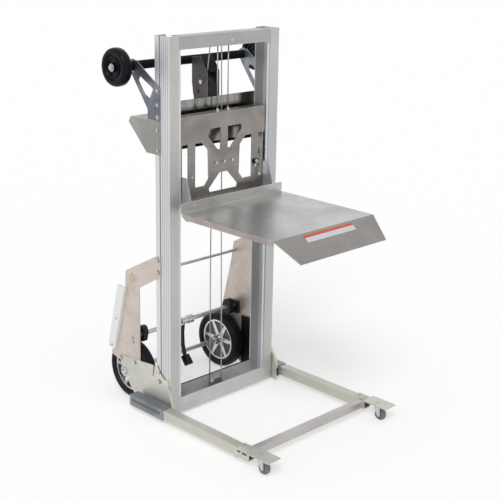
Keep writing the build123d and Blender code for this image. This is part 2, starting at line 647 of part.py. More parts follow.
save("leg_end_plates", *both(end_plate()))


def caster_plate():
    top = LEG_TOP + CASTER_PLATE
    x0 = CASTER_X - CASTER_PLATE_HALF
    x1 = CASTER_X + CASTER_PLATE_HALF
    pad = block(x0, x1, CASTER_PLATE_FRONT, LEG_FRONT, LEG_TOP, top)
    tongue = block(LEG_IN, LEG_OUT, LEG_FRONT - 1, LEG_FRONT + TONGUE, LEG_TOP, top)
    plate = pad + tongue - rod((CASTER_X, CASTER_Y, 0), "Z", KING_PIN_R + RUN_GAP, LEG_TOP - 1, top + 1)
    return drilled(plate, tongue_bolts)


save("caster_plates", *both(caster_plate()))


def caster_fork():
    """The swivelling fork with its king pin, and the axle pin of the wheel."""
    axle_y = CASTER_Y - CASTER_TRAIL
    gap = CASTER_WIDTH / 2 + 1
    top = LEG_TOP - PART_GAP
    race = rod((CASTER_X, CASTER_Y, 0), "Z", 18, top - 6, top)
    pin = rod((CASTER_X, CASTER_Y, 0), "Z", KING_PIN_R, top - 6, LEG_TOP + CASTER_PLATE + 3)
    cheek = [(CASTER_Y + 12, top - 8), (CASTER_Y - 20, top - 8)]
    cheek += around(axle_y, CASTER_R, (-8, -2), (-4, -9), (5, -9), (CASTER_TRAIL + 4, 14))
    side = side_sheet(cheek, gap, gap + 3)
    sides = Pos(CASTER_X, 0, 0) * (side + mirrored(side))
    bridge = block(CASTER_X - gap - 3, CASTER_X + gap + 3, CASTER_Y - 20, CASTER_Y + 12, top - 9, top - 6)
    hole = rod_x(axle_y, CASTER_R, CASTER_AXLE_R + BOLT_GAP, CASTER_X - 30, CASTER_X + 30)
    axle = rod_x(axle_y, CASTER_R, CASTER_AXLE_R, CASTER_X - gap - 5, CASTER_X + gap + 5)
    return race + pin + bridge + sides - hole, axle


def caster_wheel():
    half = CASTER_WIDTH / 2
    bore = CASTER_AXLE_R + RUN_GAP
    side = [(half, bore), (half, 9), (half - 2, 10), (half - 2, CASTER_R - 6), (half - 5, CASTER_R)]
    other_side = [(-x, radius) for x, radius in reversed(side)]
    return turned(side + other_side, (CASTER_X, CASTER_Y - CASTER_TRAIL, CASTER_R))


right_fork = caster_fork()
save("caster_fork_right", *right_fork)
save("caster_fork_left", *[mirrored(piece) for piece in right_fork])
save("caster_wheel_right", caster_wheel())
save("caster_wheel_left", mirrored(caster_wheel()))

# Rear axle, wheels, nuts and spacers
hub_x = HUB_WIDTH / 2
axle_half = BASE_X + 4
save("rear_axle", rod_x(AXLE_Y, AXLE_Z, AXLE_R, -axle_half, axle_half))
nut_face = RegularPolygon(16, 6) - Circle(AXLE_R + BOLT_GAP)
nut = extrude(Plane.YZ * nut_face, amount=9, dir=(1, 0, 0))
nut = Pos(BASE_X, AXLE_Y, AXLE_Z) * nut
spacer = rod_x(AXLE_Y, AXLE_Z, 15, WHEEL_X + hub_x + PART_GAP, FRAME_X, AXLE_R + BOLT_GAP)
collar_x = WHEEL_X - hub_x - PART_GAP
collar = rod_x(AXLE_Y, AXLE_Z, 15, collar_x - 12, collar_x, AXLE_R + BOLT_GAP)
save("axle_nuts_and_spacers", *both(nut), *both(spacer), *both(collar))


def rear_hub():
    """A cast spoked hub: boss, rim and tapered spokes."""
    boss = rod_x(AXLE_Y, AXLE_Z, HUB_BOSS_R, WHEEL_X - hub_x, WHEEL_X + hub_x, AXLE_R + RUN_GAP)
    rim = rod_x(AXLE_Y, AXLE_Z, RIM_R, WHEEL_X - 20, WHEEL_X + 20, RIM_R - RIM_WALL)
    hub = boss + rim
    reach = RIM_R - RIM_WALL + 1
    spoke = [(HUB_BOSS_R - 3, -11), (reach, -7), (reach, 7), (HUB_BOSS_R - 3, 11)]
    for turn in range(SPOKES):
        face = Rot(0, 0, 360 * turn / SPOKES) * Polygon(*spoke, align=None)
        arm = extrude(Plane.YZ.offset(-SPOKE_WIDTH / 2) * face, amount=SPOKE_WIDTH, dir=(1, 0, 0))
        hub = hub + Pos(WHEEL_X, AXLE_Y, AXLE_Z) * arm
    return hub


def rear_tyre():
    half = TYRE_WIDTH / 2
    tyre = rod_x(AXLE_Y, AXLE_Z, WHEEL_R, WHEEL_X - half, WHEEL_X + half, RIM_R)
    rounds = tyre.edges().filter_by(GeomType.CIRCLE).sort_by(SortBy.RADIUS)[-2:]
    return fillet(rounds, TYRE_WIDTH * 0.32)


save("rear_hub_right", rear_hub())
save("rear_hub_left", mirrored(rear_hub()))
save("rear_tyre_right", rear_tyre())
save("rear_tyre_left", mirrored(rear_tyre()))

# Brake: a rod that a foot pedal turns, with a shoe over each tyre
block_in = MAST_HALF - 14
brake_half = MAST_HALF - 7
bearing = block(block_in, MAST_HALF, BRAKE_Y - 25, BRAKE_Y + 22, BRAKE_Z - 36, BRAKE_Z + 20)
bearing = bearing - rod_x(BRAKE_Y, BRAKE_Z, BRAKE_R + RUN_GAP, block_in - 1, brake_half + PART_GAP)
save("brake_bearings", *both(drilled(bearing, brake_bolts)))
save("brake_rod", rod_x(BRAKE_Y, BRAKE_Z, BRAKE_R, -brake_half, brake_half))


def brake_pedal():
    x0 = PEDAL_X - PEDAL_WIDTH / 2
    x1 = PEDAL_X + PEDAL_WIDTH / 2
    collar = rod_x(BRAKE_Y, BRAKE_Z, BRAKE_R + COLLAR_WALL, x0, x1)
    for low in (x0, PEDAL_X + 6, x1 - 8):
        collar = collar + rod_x(BRAKE_Y, BRAKE_Z, BRAKE_R + COLLAR_WALL + 3, low, low + 8)
    rear_side = around(BRAKE_Y, BRAKE_Z, (12, -4), (9, -60), (3, -120), (-10, -160))
    front_side = around(BRAKE_Y, BRAKE_Z, (-24, -150), (-11, -108), (-8, -55), (-12, -4))
    tip = around(BRAKE_Y - PEDAL_REACH, PEDAL_LOW, (0, 0), (-5, 5))
    lever = side_sheet(rear_side + tip + front_side, x0 + 7, x0 + 17)
    tread = around(BRAKE_Y, BRAKE_Z, (-10, -158), (-6, -163))
    tread += around(BRAKE_Y - PEDAL_REACH, PEDAL_LOW, (3, -5), (-4, 1))
    pad = side_sheet(tread, x0 - 2, x0 + 42)
    return collar + lever + pad - rod_x(BRAKE_Y, BRAKE_Z, BRAKE_R, x0 - 3, x1 + 1)


save("brake_pedal", brake_pedal())


def brake_shoe():
    outline = around(BRAKE_Y, BRAKE_Z, (-24, 12), (-17, 32), (-4, 38), (14, 34), (27, 20), (30, -6))
    outline += around(BRAKE_Y, BRAKE_Z, (44, -24), (42, -33), (14, -37), (-14, -30), (-20, -12))
    shoe = side_sheet(outline, WHEEL_X - SHOE_IN, WHEEL_X + SHOE_OUT)
    return shoe - rod_x(BRAKE_Y, BRAKE_Z, BRAKE_R, WHEEL_X - SHOE_IN - 1, WHEEL_X + SHOE_OUT + 1)


save("brake_shoes", *both(brake_shoe()))


# Winch: a folded frame on the console, a drum with its gear, and the pinion shaft
def winch_frame():
    cheek = around(PANEL_Y, CONSOLE_TOP, (0, 0), (0, 164), (42, 225), (WINCH_DEPTH, 215))
    cheek += around(PANEL_Y, CONSOLE_TOP, (WINCH_DEPTH, WINCH_HEEL), (WINCH_FOOT, 0))
    frame = side_sheet(cheek, WINCH_LEFT, WINCH_RIGHT)
    space = block(WINCH_LEFT + SHEET, WINCH_RIGHT - SHEET, 0, WINCH_REAR + 20, WINCH_FLOOR, MAST_TOP)
    frame = frame - space
    web_points = around(PANEL_Y, CONSOLE_TOP, (0, 164), (42, 225), (45, 222), (3, 162))
    web = side_sheet(web_points, WINCH_LEFT, WINCH_RIGHT)
    slot_z = (CONSOLE_TOP + 153, CONSOLE_TOP + 193)
    slot = block(WINCH_LEFT + 5, WINCH_LEFT + 17, PANEL_Y - 1, PANEL_Y + 24, *slot_z)
    frame = frame + (web - slot)
    for y, z, radius in ((DRUM_Y, DRUM_Z, DRUM_SHAFT_R), (DRIVE_Y, DRIVE_Z, DRIVE_R)):
        frame = frame - rod_x(y, z, radius + RUN_GAP, WINCH_LEFT - 1, WINCH_RIGHT + 1)
    return frame


save("winch_frame", winch_frame())


def gear(teeth, phase, width):
    """A spur gear whose teeth have straight flanks and some play."""
    pitch = GEAR_MODULE * teeth / 2
    tip = pitch + 0.9 * GEAR_MODULE
    root = pitch - 1.2 * GEAR_MODULE
    thick = pi * GEAR_MODULE / 2 - TOOTH_PLAY
    tip_half = thick / 2 - 0.9 * GEAR_MODULE * tan(radians(20))
    root_half = thick / 2 + 1.2 * GEAR_MODULE * tan(radians(20))
    corners = []
    for tooth in range(teeth):
        middle = radians(phase) + 2 * pi * tooth / teeth
        for radius, half in ((root, -root_half), (tip, -tip_half), (tip, tip_half), (root, root_half)):
            angle = middle + half / radius
            corners.append((radius * cos(angle), radius * sin(angle)))
    return extrude(Plane.YZ * Polygon(*corners, align=None), amount=width, dir=(1, 0, 0))


wheel_phase = DRUM_ANGLE + 180 + 180 / WHEEL_TEETH
drum_gear = Pos(GEAR_LEFT, DRUM_Y, DRUM_Z) * gear(WHEEL_TEETH, wheel_phase, GEAR_WIDTH)
save("drum_gear", drum_gear - rod_x(DRUM_Y, DRUM_Z, DRUM_SHAFT_R, 0, WINCH_RIGHT))
pinion = Pos(GEAR_LEFT - 1, DRIVE_Y, DRIVE_Z) * gear(PINION_TEETH, DRUM_ANGLE, GEAR_WIDTH + 2)
brake_disc = rod_x(DRIVE_Y, DRIVE_Z, 19, GEAR_LEFT + GEAR_WIDTH + 2, COVER_RIGHT - COVER_SHEET - 1)
shaft = rod_x(DRIVE_Y, DRIVE_Z, DRIVE_R, WINCH_LEFT - 6, WINCH_RIGHT)
shaft = shaft + rod_x(DRIVE_Y, DRIVE_Z, STUB_R, WINCH_RIGHT, WINCH_RIGHT + STUB_LENGTH)
shaft_nut = rod_x(DRIVE_Y, DRIVE_Z, DRIVE_R + 3, WINCH_LEFT - 5, WINCH_LEFT - PART_GAP)
save("drive_shaft", shaft + pinion + brake_disc + shaft_nut)


def drum():
    """Core, two flanges and the shaft, with a few turns of cable left on the core."""
    left = WINCH_LEFT + 7
    right = GEAR_LEFT - 3
    core = rod_x(DRUM_Y, DRUM_Z, DRUM_R, left, GEAR_LEFT)
    flanges = rod_x(DRUM_Y, DRUM_Z, DRUM_FLANGE_R, left, left + 2)
    flanges = flanges + rod_x(DRUM_Y, DRUM_Z, DRUM_FLANGE_R, right, right + 2)
    axle = rod_x(DRUM_Y, DRUM_Z, DRUM_SHAFT_R, WINCH_LEFT - 4, WINCH_RIGHT + 4)
    body = core + flanges + axle
    for turn in range(2):
        x = right - CABLE_R - 2 * CABLE_R * turn
        body = body + rod_x(DRUM_Y, DRUM_Z, DRUM_R + 2 * CABLE_R - 0.6, x - 2.2, x + 2.2)
    return body


save("winch_drum", drum())


def guard_arc(radius, last):
    turns = [radians(turn) for turn in range(180, last, -6)]
    return [(COVER_Y + radius * cos(turn), COVER_Z + radius * sin(turn)) for turn in turns]


def winch_cover():
    """A black guard over drum and gear: its front follows an arc, its back and foot are open."""
    inner_r = COVER_R - COVER_SHEET
    back = [(WINCH_DEPTH - 3, COVER_RISE + 73), (WINCH_DEPTH - 3, WINCH_HEEL), (WINCH_FOOT - 3, PLATE)]
    outer = [(COVER_Y - COVER_R, WINCH_FLOOR)] + guard_arc(COVER_R, 116)
    outer += around(PANEL_Y, CONSOLE_TOP, *back)
    inner = [(COVER_Y - inner_r, WINCH_FLOOR - 1)] + guard_arc(inner_r, 110)
    inner += around(PANEL_Y + 12, CONSOLE_TOP, *back[:2], (WINCH_FOOT - 3, PLATE - 1))
    cover = side_sheet(outer, COVER_LEFT, COVER_RIGHT)
    cover = cover - side_sheet(inner, COVER_LEFT + COVER_SHEET, COVER_RIGHT - COVER_SHEET)
    cover = cover - rod_x(DRUM_Y, DRUM_Z, DRUM_SHAFT_R + 2, COVER_LEFT - 1, COVER_RIGHT + 1)
    cover = cover - rod_x(DRIVE_Y, DRIVE_Z, DRIVE_R + 2, COVER_LEFT - 1, COVER_RIGHT + 1)
    slot_left = COVER_LEFT + COVER_SHEET
    slot = block(slot_left, slot_left + 13, COVER_Y - 117, COVER_Y - 79, COVER_Z + 18, COVER_Z + 80)
    return cover - slot


save("winch_cover", winch_cover())


# Cables: the lift cable from carriage over the head sheave to the drum, and the loop cable
def cable(path):
    start = path @ 0
    return sweep(Plane(origin=start, z_dir=path % 0) * Circle(CABLE_R), path=path)


def head_arc(x, last):
    """The cable's half turn over a head sheave, from its front to the angle where it leaves."""
    middle = radians((180 + last) / 2)
    end = radians(last)
    front = (x, HEAD_Y - HEAD_R, HEAD_Z)
    top = (x, HEAD_Y + HEAD_R * cos(middle), HEAD_Z + HEAD_R * sin(middle))
    rear = (x, HEAD_Y + HEAD_R * cos(end), HEAD_Z + HEAD_R * sin(end))
    return ThreePointArc(front, top, rear), rear


drum_pitch = DRUM_R + CABLE_R + PART_GAP
span = ((DRUM_Y - HEAD_Y) ** 2 + (DRUM_Z - HEAD_Z) ** 2) ** 0.5
leave = degrees(acos((HEAD_R + drum_pitch) / span) + atan2(DRUM_Z - HEAD_Z, DRUM_Y - HEAD_Y))
over_head, head_rear = head_arc(LIFT_X, leave)
drum_x = 2.0
drum_end = (drum_x, DRUM_Y - drum_pitch * cos(radians(leave)), DRUM_Z - drum_pitch * sin(radians(leave)))
save("lift_cable", cable(over_head), cable(Line(head_rear, drum_end)))

over_loop, loop_rear = head_arc(LOOP_X, 0)
foot_right = (LOOP_X, FOOT_Y, FOOT_Z)
foot_left = (DOWN_X, FOOT_Y, FOOT_Z)
under_foot = ThreePointArc(foot_right, (FOOT_X, FOOT_Y, FOOT_Z - FOOT_R), foot_left)
save("loop_cable", cable(over_loop), cable(Line(loop_rear, foot_right)), cable(under_foot))
save(
    "upper_cable_runs",
    rod((LIFT_X, HEAD_Y - HEAD_R, 0), "Z", CABLE_R, ANCHOR_TOP, HEAD_Z),
    rod((LOOP_X, HEAD_Y - HEAD_R, 0), "Z", CABLE_R, ANCHOR_TOP, HEAD_Z),
)
save("lower_cable_run", rod((DOWN_X, FOOT_Y, 0), "Z", CABLE_R, FOOT_Z, ANCHOR_LOW))


# Carriage: a cut-out plate with folded flanges, side plates and rollers in the uprights
def windows():
    """The openings of the plate, drawn for the right side and mirrored, and one at the bottom."""
    side = [(156, 250), (120, 250), (88, 218), (84, 99), (106, 73), (156, 73)]
    upper = [(20, 300), (94, 300), (98, 282), (34, 211), (20, 211)]
    lower = [(-24, 116), (20, 116), (76, 57), (72, 42), (-78, 42), (-82, 57)]
    flipped = [[(-x, z) for x, z in shape] for shape in (side, upper)]
    stretch = STRIP_HALF / WINDOW_SPAN
    shapes = [side, upper, lower] + flipped
    return [[(x * stretch, CARRIAGE_LOW + z) for x, z in shape] for shape in shapes]


hub_bolts = [Bolt((x, CARRIAGE_FRONT, CARRIAGE_LOW + 159), (0, -1, 0), PLATE + 3, M8_R) for x in (-44, 0, 44)]
strip_bolt = Bolt((STRIP_HALF - 19, CARRIAGE_FRONT, CARRIAGE_LOW + 117), (0, -1, 0), PLATE + 3, M8_R)
strip_bolts = [strip_bolt, mirrored_bolt(strip_bolt)]


def carriage_plate():
    plate = block(-BAND_HALF, BAND_HALF, CARRIAGE_FRONT, PLATE_BACK, BAND_LOW, CARRIAGE_TOP)
    plate = plate + block(-STRIP_HALF, STRIP_HALF, CARRIAGE_FRONT, PLATE_BACK, CARRIAGE_LOW, BAND_LOW)
    low_band_top = CARRIAGE_LOW + LOW_BAND
    plate = plate + block(-SIDE_IN, SIDE_IN, CARRIAGE_FRONT, PLATE_BACK, CARRIAGE_LOW, low_band_top)
    for shape in windows():
        plate = plate - front_sheet(shape, CARRIAGE_FRONT - 1, PLATE_BACK + 1)
    plate = plate + block(-BAND_HALF, BAND_HALF, PLATE_BACK, FLANGE_BACK, CARRIAGE_TOP - PLATE, CARRIAGE_TOP)
    plate = plate + block(-SIDE_IN, SIDE_IN, PLATE_BACK, FLANGE_BACK, CARRIAGE_LOW, CARRIAGE_LOW + PLATE)
    room_z = (CARRIAGE_LOW - 1, CARRIAGE_TOP + 1)
    plate = plate - block(LOOP_X - 10, LOOP_X + 10, FOOT_Y - 8, FLANGE_BACK + 1, *room_z)
    for x, y in anchor_places:
        plate = plate - rod((x, y, 0), "Z", 5 + BOLT_GAP, CARRIAGE_LOW - 5, CARRIAGE_TOP + 5)
    return drilled(plate, hub_bolts + strip_bolts)


anchor_places = [(LIFT_X, HEAD_Y - HEAD_R), (LOOP_X, HEAD_Y - HEAD_R), (DOWN_X, FOOT_Y)]
save("carriage_plate", carriage_plate())

arm_places = around(PLATE_BACK, CARRIAGE_LOW, (28, 39), (28, 104), (8, 72))
arm_bolts = [Bolt((SIDE_IN, y, z), (-1, 0, 0), 2 * PLATE + 1, M8_R) for y, z in arm_places]


def side_plate():
    plate = block(SIDE_IN, SIDE_X, PLATE_BACK, SIDE_REAR, CARRIAGE_LOW + SIDE_RISE, CARRIAGE_TOP - PLATE)
    for z in (ROLLER_HIGH, ROLLER_LOW):
        plate = plate - rod_x(ROLLER_Y, z, ROLLER_AXLE_R + BOLT_GAP, SIDE_IN - 1, SIDE_X + 1)
    return drilled(plate, arm_bolts)


save("carriage_side_plates", *both(side_plate()))

roller_in = ROLLER_X - ROLLER_WIDTH / 2
roller_out = ROLLER_X + ROLLER_WIDTH / 2


def roller(z):
    half = ROLLER_WIDTH / 2
    bore = ROLLER_AXLE_R + RUN_GAP
    profile = [(-half, bore), (half, bore), (half, ROLLER_R - 2), (half - 2, ROLLER_R), (2 - half, ROLLER_R)]
    return turned(profile + [(-half, ROLLER_R - 2)], (ROLLER_X, ROLLER_Y, z))


def roller_axle(z):
    shoulder = roller_in - PART_GAP
    washer = roller_out + PART_GAP
    profile = [(SIDE_IN - 6, 0), (washer + 3, 0), (washer + 3, 12), (washer, 12), (washer, ROLLER_AXLE_R)]
    profile += [(shoulder, ROLLER_AXLE_R), (shoulder, 14), (SIDE_X, 14), (SIDE_X, ROLLER_AXLE_R)]
    profile += [(SIDE_IN, ROLLER_AXLE_R), (SIDE_IN, 13), (SIDE_IN - 6, 13)]
    return turned(profile, (0, ROLLER_Y, z))


save("upper_rollers", *both(roller(ROLLER_HIGH)))
save("lower_rollers", *both(roller(ROLLER_LOW)))
save("roller_axles", *both(roller_axle(ROLLER_HIGH)), *both(roller_axle(ROLLER_LOW)))

# Platform: a folded tray riveted on two arms that hang from the side plates
rear_row = DECK_BACK - 19
front_row = DECK_FRONT + 66
rivet_rows = [rear_row, (rear_row + front_row) / 2, front_row]
deck_rivets = [Bolt((ARM_X, y, DECK_TOP), (0, 0, 1), 2 * SHEET + 1, RIVET_R) for y in rivet_rows]
back_rivet = Bolt((SIDE_X - 14, DECK_BACK, DECK_TOP + 21), (0, -1, 0), 2 * SHEET + 1, RIVET_R)


def platform_arm():
    rear_y = PLATE_BACK + 48
    outline = around(rear_y, DECK_TOP, (0, ARM_RISE), (0, 19), (-40, PLATE), (-62, PLATE))
    outline += around(DECK_BACK, DECK_TOP, (21, -20), (-19, -23))
    outline += [(ARM_FRONT, DECK_TOP - 14), (ARM_FRONT, DECK_LOW), (FLANGE_Y, DECK_LOW)]
    outline += [(FLANGE_Y, DECK_TOP + ARM_SHOULDER), (DECK_BACK + ARM_CREST, DECK_TOP + ARM_RISE)]
    arm = side_sheet(outline, SIDE_X, ARM_OUT)
    arm = arm + block(ARM_OUT, ARM_X + 14, ARM_FRONT, DECK_BACK - 4, DECK_LOW - SHEET, DECK_LOW)
    arm = arm + block(SIDE_X - 26, SIDE_X, FLANGE_Y, FLANGE_Y + SHEET, DECK_TOP + 3, DECK_TOP + BACK_FLANGE)
    return drilled(arm, arm_bolts + deck_rivets + [back_rivet])


save("platform_arms", *both(platform_arm()))


tray_rivets = [twin for rivet in deck_rivets + [back_rivet] for twin in (rivet, mirrored_bolt(rivet))]


def flush_rivet(bolt):
    """A rivet whose flat head lies in its counterbore, level with the deck."""
    head = Pos(0, 0, -FLUSH_HEAD / 2) * Cylinder(bolt.radius * 2, FLUSH_HEAD)
    shank = Pos(0, 0, -bolt.grip / 2) * Cylinder(bolt.radius, bolt.grip)
    return Plane(origin=bolt.point, z_dir=bolt.direction) * (head + shank)


def platform_tray():
    deck = block(-DECK_HALF, DECK_HALF, DECK_FRONT, DECK_BACK, DECK_LOW, DECK_TOP)
    back = block(-DECK_HALF, DECK_HALF, DECK_BACK, FLANGE_Y, DECK_LOW, DECK_TOP + BACK_FLANGE)
    skirt_low = DECK_TOP - SKIRT
    skirt = [(DECK_BACK - 3, DECK_LOW), (DECK_BACK - 3, skirt_low + 10), (DECK_BACK - 27, skirt_low - 4)]
    skirt += [(DECK_BACK - 50, skirt_low), (DECK_FRONT, skirt_low), (DECK_FRONT, DECK_LOW)]
    side = side_sheet(skirt, DECK_HALF - SHEET, DECK_HALF)
    low = DECK_TOP - FLAP_DROP
    slope = [(DECK_FRONT, DECK_TOP), (FLAP_FRONT, low)]
    slope += [(FLAP_FRONT + 2, low - SHEET), (DECK_FRONT, DECK_LOW - 1)]
    flap = side_sheet(slope, -DECK_HALF, DECK_HALF)
    rear_corners = [(-DECK_HALF, DECK_FRONT), (DECK_HALF, DECK_FRONT)]
    front_corners = [(FLAP_HALF, FLAP_FRONT), (-FLAP_HALF, FLAP_FRONT)]
    taper = Pos(0, 0, low - 10) * Polygon(*rear_corners, *front_corners, align=None)
    flap = flap & extrude(taper, amount=FLAP_DROP + 20, dir=(0, 0, 1))
    tray = deck + back + side + mirrored(side) + flap
    for rivet in tray_rivets:
        sink = Pos(0, 0, -FLUSH_HEAD / 2) * Cylinder(rivet.radius * 2 + BOLT_GAP, FLUSH_HEAD)
        if rivet.direction == (0, 0, 1):
            tray = tray - Plane(origin=rivet.point, z_dir=rivet.direction) * sink
    return drilled(tray, tray_rivets)


save("platform_tray", platform_tray())
flush = [piece for rivet in deck_rivets for piece in both(flush_rivet(rivet))]
save("platform_rivets", *flush, *both(rivet_solid(back_rivet)))
bumper_z = (CARRIAGE_LOW + BUMPER_RISE, CARRIAGE_LOW + BUMPER_RISE + BUMPER_HEIGHT)
bumper_x = (STRIP_HALF - BUMPER_WIDTH - 2, STRIP_HALF - 2)
rubber = block(*bumper_x, CARRIAGE_FRONT - BUMPER_THICK, CARRIAGE_FRONT, *bumper_z)
save("stop_bumpers", fillet(rubber.edges().filter_by(Axis.Y), 4))


def anchor(x, y, low, high, face, up):
    """A threaded cable end with its nut on the carriage flange."""
    nut = rod((x, y, 0), "Z", 8, face, face + 6 * up) if up > 0 else rod((x, y, 0), "Z", 8, face - 6, face)
    return rod((x, y, 0), "Z", 5, low, high) + nut


anchors = [anchor(x, y, CARRIAGE_TOP - 12, ANCHOR_TOP, CARRIAGE_TOP, 1) for x, y in anchor_places[:2]]
anchors.append(anchor(DOWN_X, FOOT_Y, ANCHOR_LOW, CARRIAGE_LOW + 14, CARRIAGE_LOW, -1))
side_heads = [piece for bolt in arm_bolts for piece in both(bolt_solid(bolt))]
save("carriage_bolts", *[bolt_solid(bolt) for bolt in hub_bolts + strip_bolts], *side_heads, *anchors)

# Fasteners of the frame
frame_side = rail_bolts + joint_bolts + brake_bolts + [end_bolt] + tongue_bolts
frame_pieces = [piece for bolt in frame_side for piece in both(bolt_solid(bolt))]
frame_pieces += [bolt_solid(bolt) for bolt in right_skid_bolts]
frame_pieces += [bolt_solid(mirrored_bolt(bolt)) for bolt in skid_bolts]
save("frame_bolts", *frame_pieces, rivet_solid(crossbar_rivet))
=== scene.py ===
import json
from math import cos, pi, radians, sin

import bmesh
import bpy
from mathutils import Matrix, Vector


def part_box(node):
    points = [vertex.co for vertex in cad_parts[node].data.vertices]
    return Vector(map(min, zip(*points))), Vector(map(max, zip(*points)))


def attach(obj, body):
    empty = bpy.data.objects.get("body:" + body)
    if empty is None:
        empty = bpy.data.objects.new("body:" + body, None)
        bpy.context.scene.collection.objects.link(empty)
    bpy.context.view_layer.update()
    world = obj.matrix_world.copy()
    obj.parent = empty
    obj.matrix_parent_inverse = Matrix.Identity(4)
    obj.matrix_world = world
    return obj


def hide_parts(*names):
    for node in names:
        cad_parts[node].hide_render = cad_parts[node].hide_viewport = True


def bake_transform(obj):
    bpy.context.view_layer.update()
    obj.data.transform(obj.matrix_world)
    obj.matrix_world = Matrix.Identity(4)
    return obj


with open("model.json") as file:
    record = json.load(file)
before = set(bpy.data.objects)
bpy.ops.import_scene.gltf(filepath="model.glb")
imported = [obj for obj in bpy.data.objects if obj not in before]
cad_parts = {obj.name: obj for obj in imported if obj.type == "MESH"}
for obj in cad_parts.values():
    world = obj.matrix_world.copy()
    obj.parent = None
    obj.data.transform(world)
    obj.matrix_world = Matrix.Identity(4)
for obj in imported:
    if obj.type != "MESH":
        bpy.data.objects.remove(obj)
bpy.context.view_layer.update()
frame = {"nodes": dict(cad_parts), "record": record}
scene = bpy.context.scene
scene.view_settings.view_transform = "Standard"

# The camera stands in front and to the left of the lifter, a little above the mast,
# and looks down at it with a long lens, as a catalogue photograph does.
CAMERA_PLACE = (-3.0317, -3.0649, 2.0234)
CAMERA_YAW = radians(44.99)
CAMERA_PITCH = radians(17.09)
CAMERA_ROLL = radians(1.05)
lens = bpy.data.cameras.new("camera")
lens.lens = 80.03
lens.sensor_width = 36.0
camera = bpy.data.objects.new("camera", lens)
forward = cos(CAMERA_PITCH)
ahead = Vector((sin(CAMERA_YAW) * forward, cos(CAMERA_YAW) * forward, -sin(CAMERA_PITCH)))
level = Vector((cos(CAMERA_YAW), -sin(CAMERA_YAW), 0.0))
above = level.cross(ahead)
right = level * cos(CAMERA_ROLL) + above * sin(CAMERA_ROLL)
up = above * cos(CAMERA_ROLL) - level * sin(CAMERA_ROLL)
camera_turn = Matrix((right, up, -ahead)).transposed().to_4x4()
camera.matrix_world = Matrix.Translation(CAMERA_PLACE) @ camera_turn
scene.collection.objects.link(camera)
scene.camera = camera

# The studio: one pale floor that runs out of the picture, light that is brightest
# round the horizon and dimmer overhead, and one soft lamp high on the left.
def node(tree, kind, values=(), **settings):
    """Adds one shader node, sets its properties and the values of its sockets."""
    made = tree.nodes.new(kind)
    for key, value in settings.items():
        setattr(made, key, value)
    for key, value in dict(values).items():
        made.inputs[key].default_value = value
    return made


def wire(tree, *pairs):
    """Links pairs of (output socket, input socket)."""
    for source, target in pairs:
        tree.links.new(source, target)


FLOOR_RADIUS = 60.0
FLOOR_GLOW = 0.36
PALE_GREY = (0.80, 0.80, 0.80, 1.0)
WHITE = (1.0, 1.0, 1.0, 1.0)
floor_mesh = bmesh.new()
bmesh.ops.create_circle(floor_mesh, cap_ends=True, segments=64, radius=FLOOR_RADIUS)
floor_data = bpy.data.meshes.new("studio_floor")
floor_mesh.to_mesh(floor_data)
floor_mesh.free()
floor = bpy.data.objects.new("studio_floor", floor_data)
scene.collection.objects.link(floor)
floor_paint = bpy.data.materials.new("studio_floor")
floor_paint.use_nodes = True
tree = floor_paint.node_tree
tree.nodes.clear()
paint = node(tree, "ShaderNodeBsdfDiffuse", {"Color": PALE_GREY})
glow = node(tree, "ShaderNodeEmission", {"Color": WHITE})
path = node(tree, "ShaderNodeLightPath")
seen = node(tree, "ShaderNodeMath", operation="MAXIMUM")
lift = node(tree, "ShaderNodeMath", {1: FLOOR_GLOW}, operation="MULTIPLY")
both = node(tree, "ShaderNodeAddShader")
surface = node(tree, "ShaderNodeOutputMaterial")
wire(
    tree,
    (path.outputs["Is Camera Ray"], seen.inputs[0]),
    (path.outputs["Is Glossy Ray"], seen.inputs[1]),
    (seen.outputs[0], lift.inputs[0]),
    (lift.outputs[0], glow.inputs["Strength"]),
    (paint.outputs[0], both.inputs[0]),
    (glow.outputs[0], both.inputs[1]),
    (both.outputs[0], surface.inputs["Surface"]),
)
floor_data.materials.append(floor_paint)

world = bpy.data.worlds.new("studio")
world.use_nodes = True
scene.world = world
tree = world.node_tree
tree.nodes.clear()
place = node(tree, "ShaderNodeTexCoord")
split = node(tree, "ShaderNodeSeparateXYZ")
height = node(
    tree, "ShaderNodeMapRange", {"From Min": 0.1, "From Max": 0.85, "To Min": 0.95, "To Max": 0.42}
)
side = node(
    tree, "ShaderNodeMapRange", {"From Min": -0.9, "From Max": 0.9, "To Min": 1.12, "To Max": 0.80}
)
shade = node(tree, "ShaderNodeMath", operation="MULTIPLY")
sky = node(tree, "ShaderNodeBackground", {"Color": WHITE})
white = node(tree, "ShaderNodeBackground", {"Color": WHITE, "Strength": 1.0})
path = node(tree, "ShaderNodeLightPath")
seen = node(tree, "ShaderNodeMath", operation="MAXIMUM")
through = node(tree, "ShaderNodeMath", operation="MAXIMUM")
choose = node(tree, "ShaderNodeMixShader")
surface = node(tree, "ShaderNodeOutputWorld")
wire(
    tree,
    (place.outputs["Generated"], split.inputs[0]),
    (split.outputs["Z"], height.inputs["Value"]),
    (split.outputs["X"], side.inputs["Value"]),
    (height.outputs[0], shade.inputs[0]),
    (side.outputs[0], shade.inputs[1]),
    (shade.outputs[0], sky.inputs["Strength"]),
    (path.outputs["Is Camera Ray"], seen.inputs[0]),
    (path.outputs["Is Glossy Ray"], seen.inputs[1]),
    (seen.outputs[0], through.inputs[0]),
    (path.outputs["Is Transmission Ray"], through.inputs[1]),
    (through.outputs[0], choose.inputs[0]),
    (sky.outputs[0], choose.inputs[1]),
    (white.outputs[0], choose.inputs[2]),
    (choose.outputs[0], surface.inputs["Surface"]),
)
sun = bpy.data.lights.new("soft_lamp", "SUN")
sun.energy = 1.1
sun.angle = radians(25)
lamp = bpy.data.objects.new("soft_lamp", sun)
lamp.rotation_euler = (radians(42), radians(-14), radians(-38))
scene.collection.objects.link(lamp)


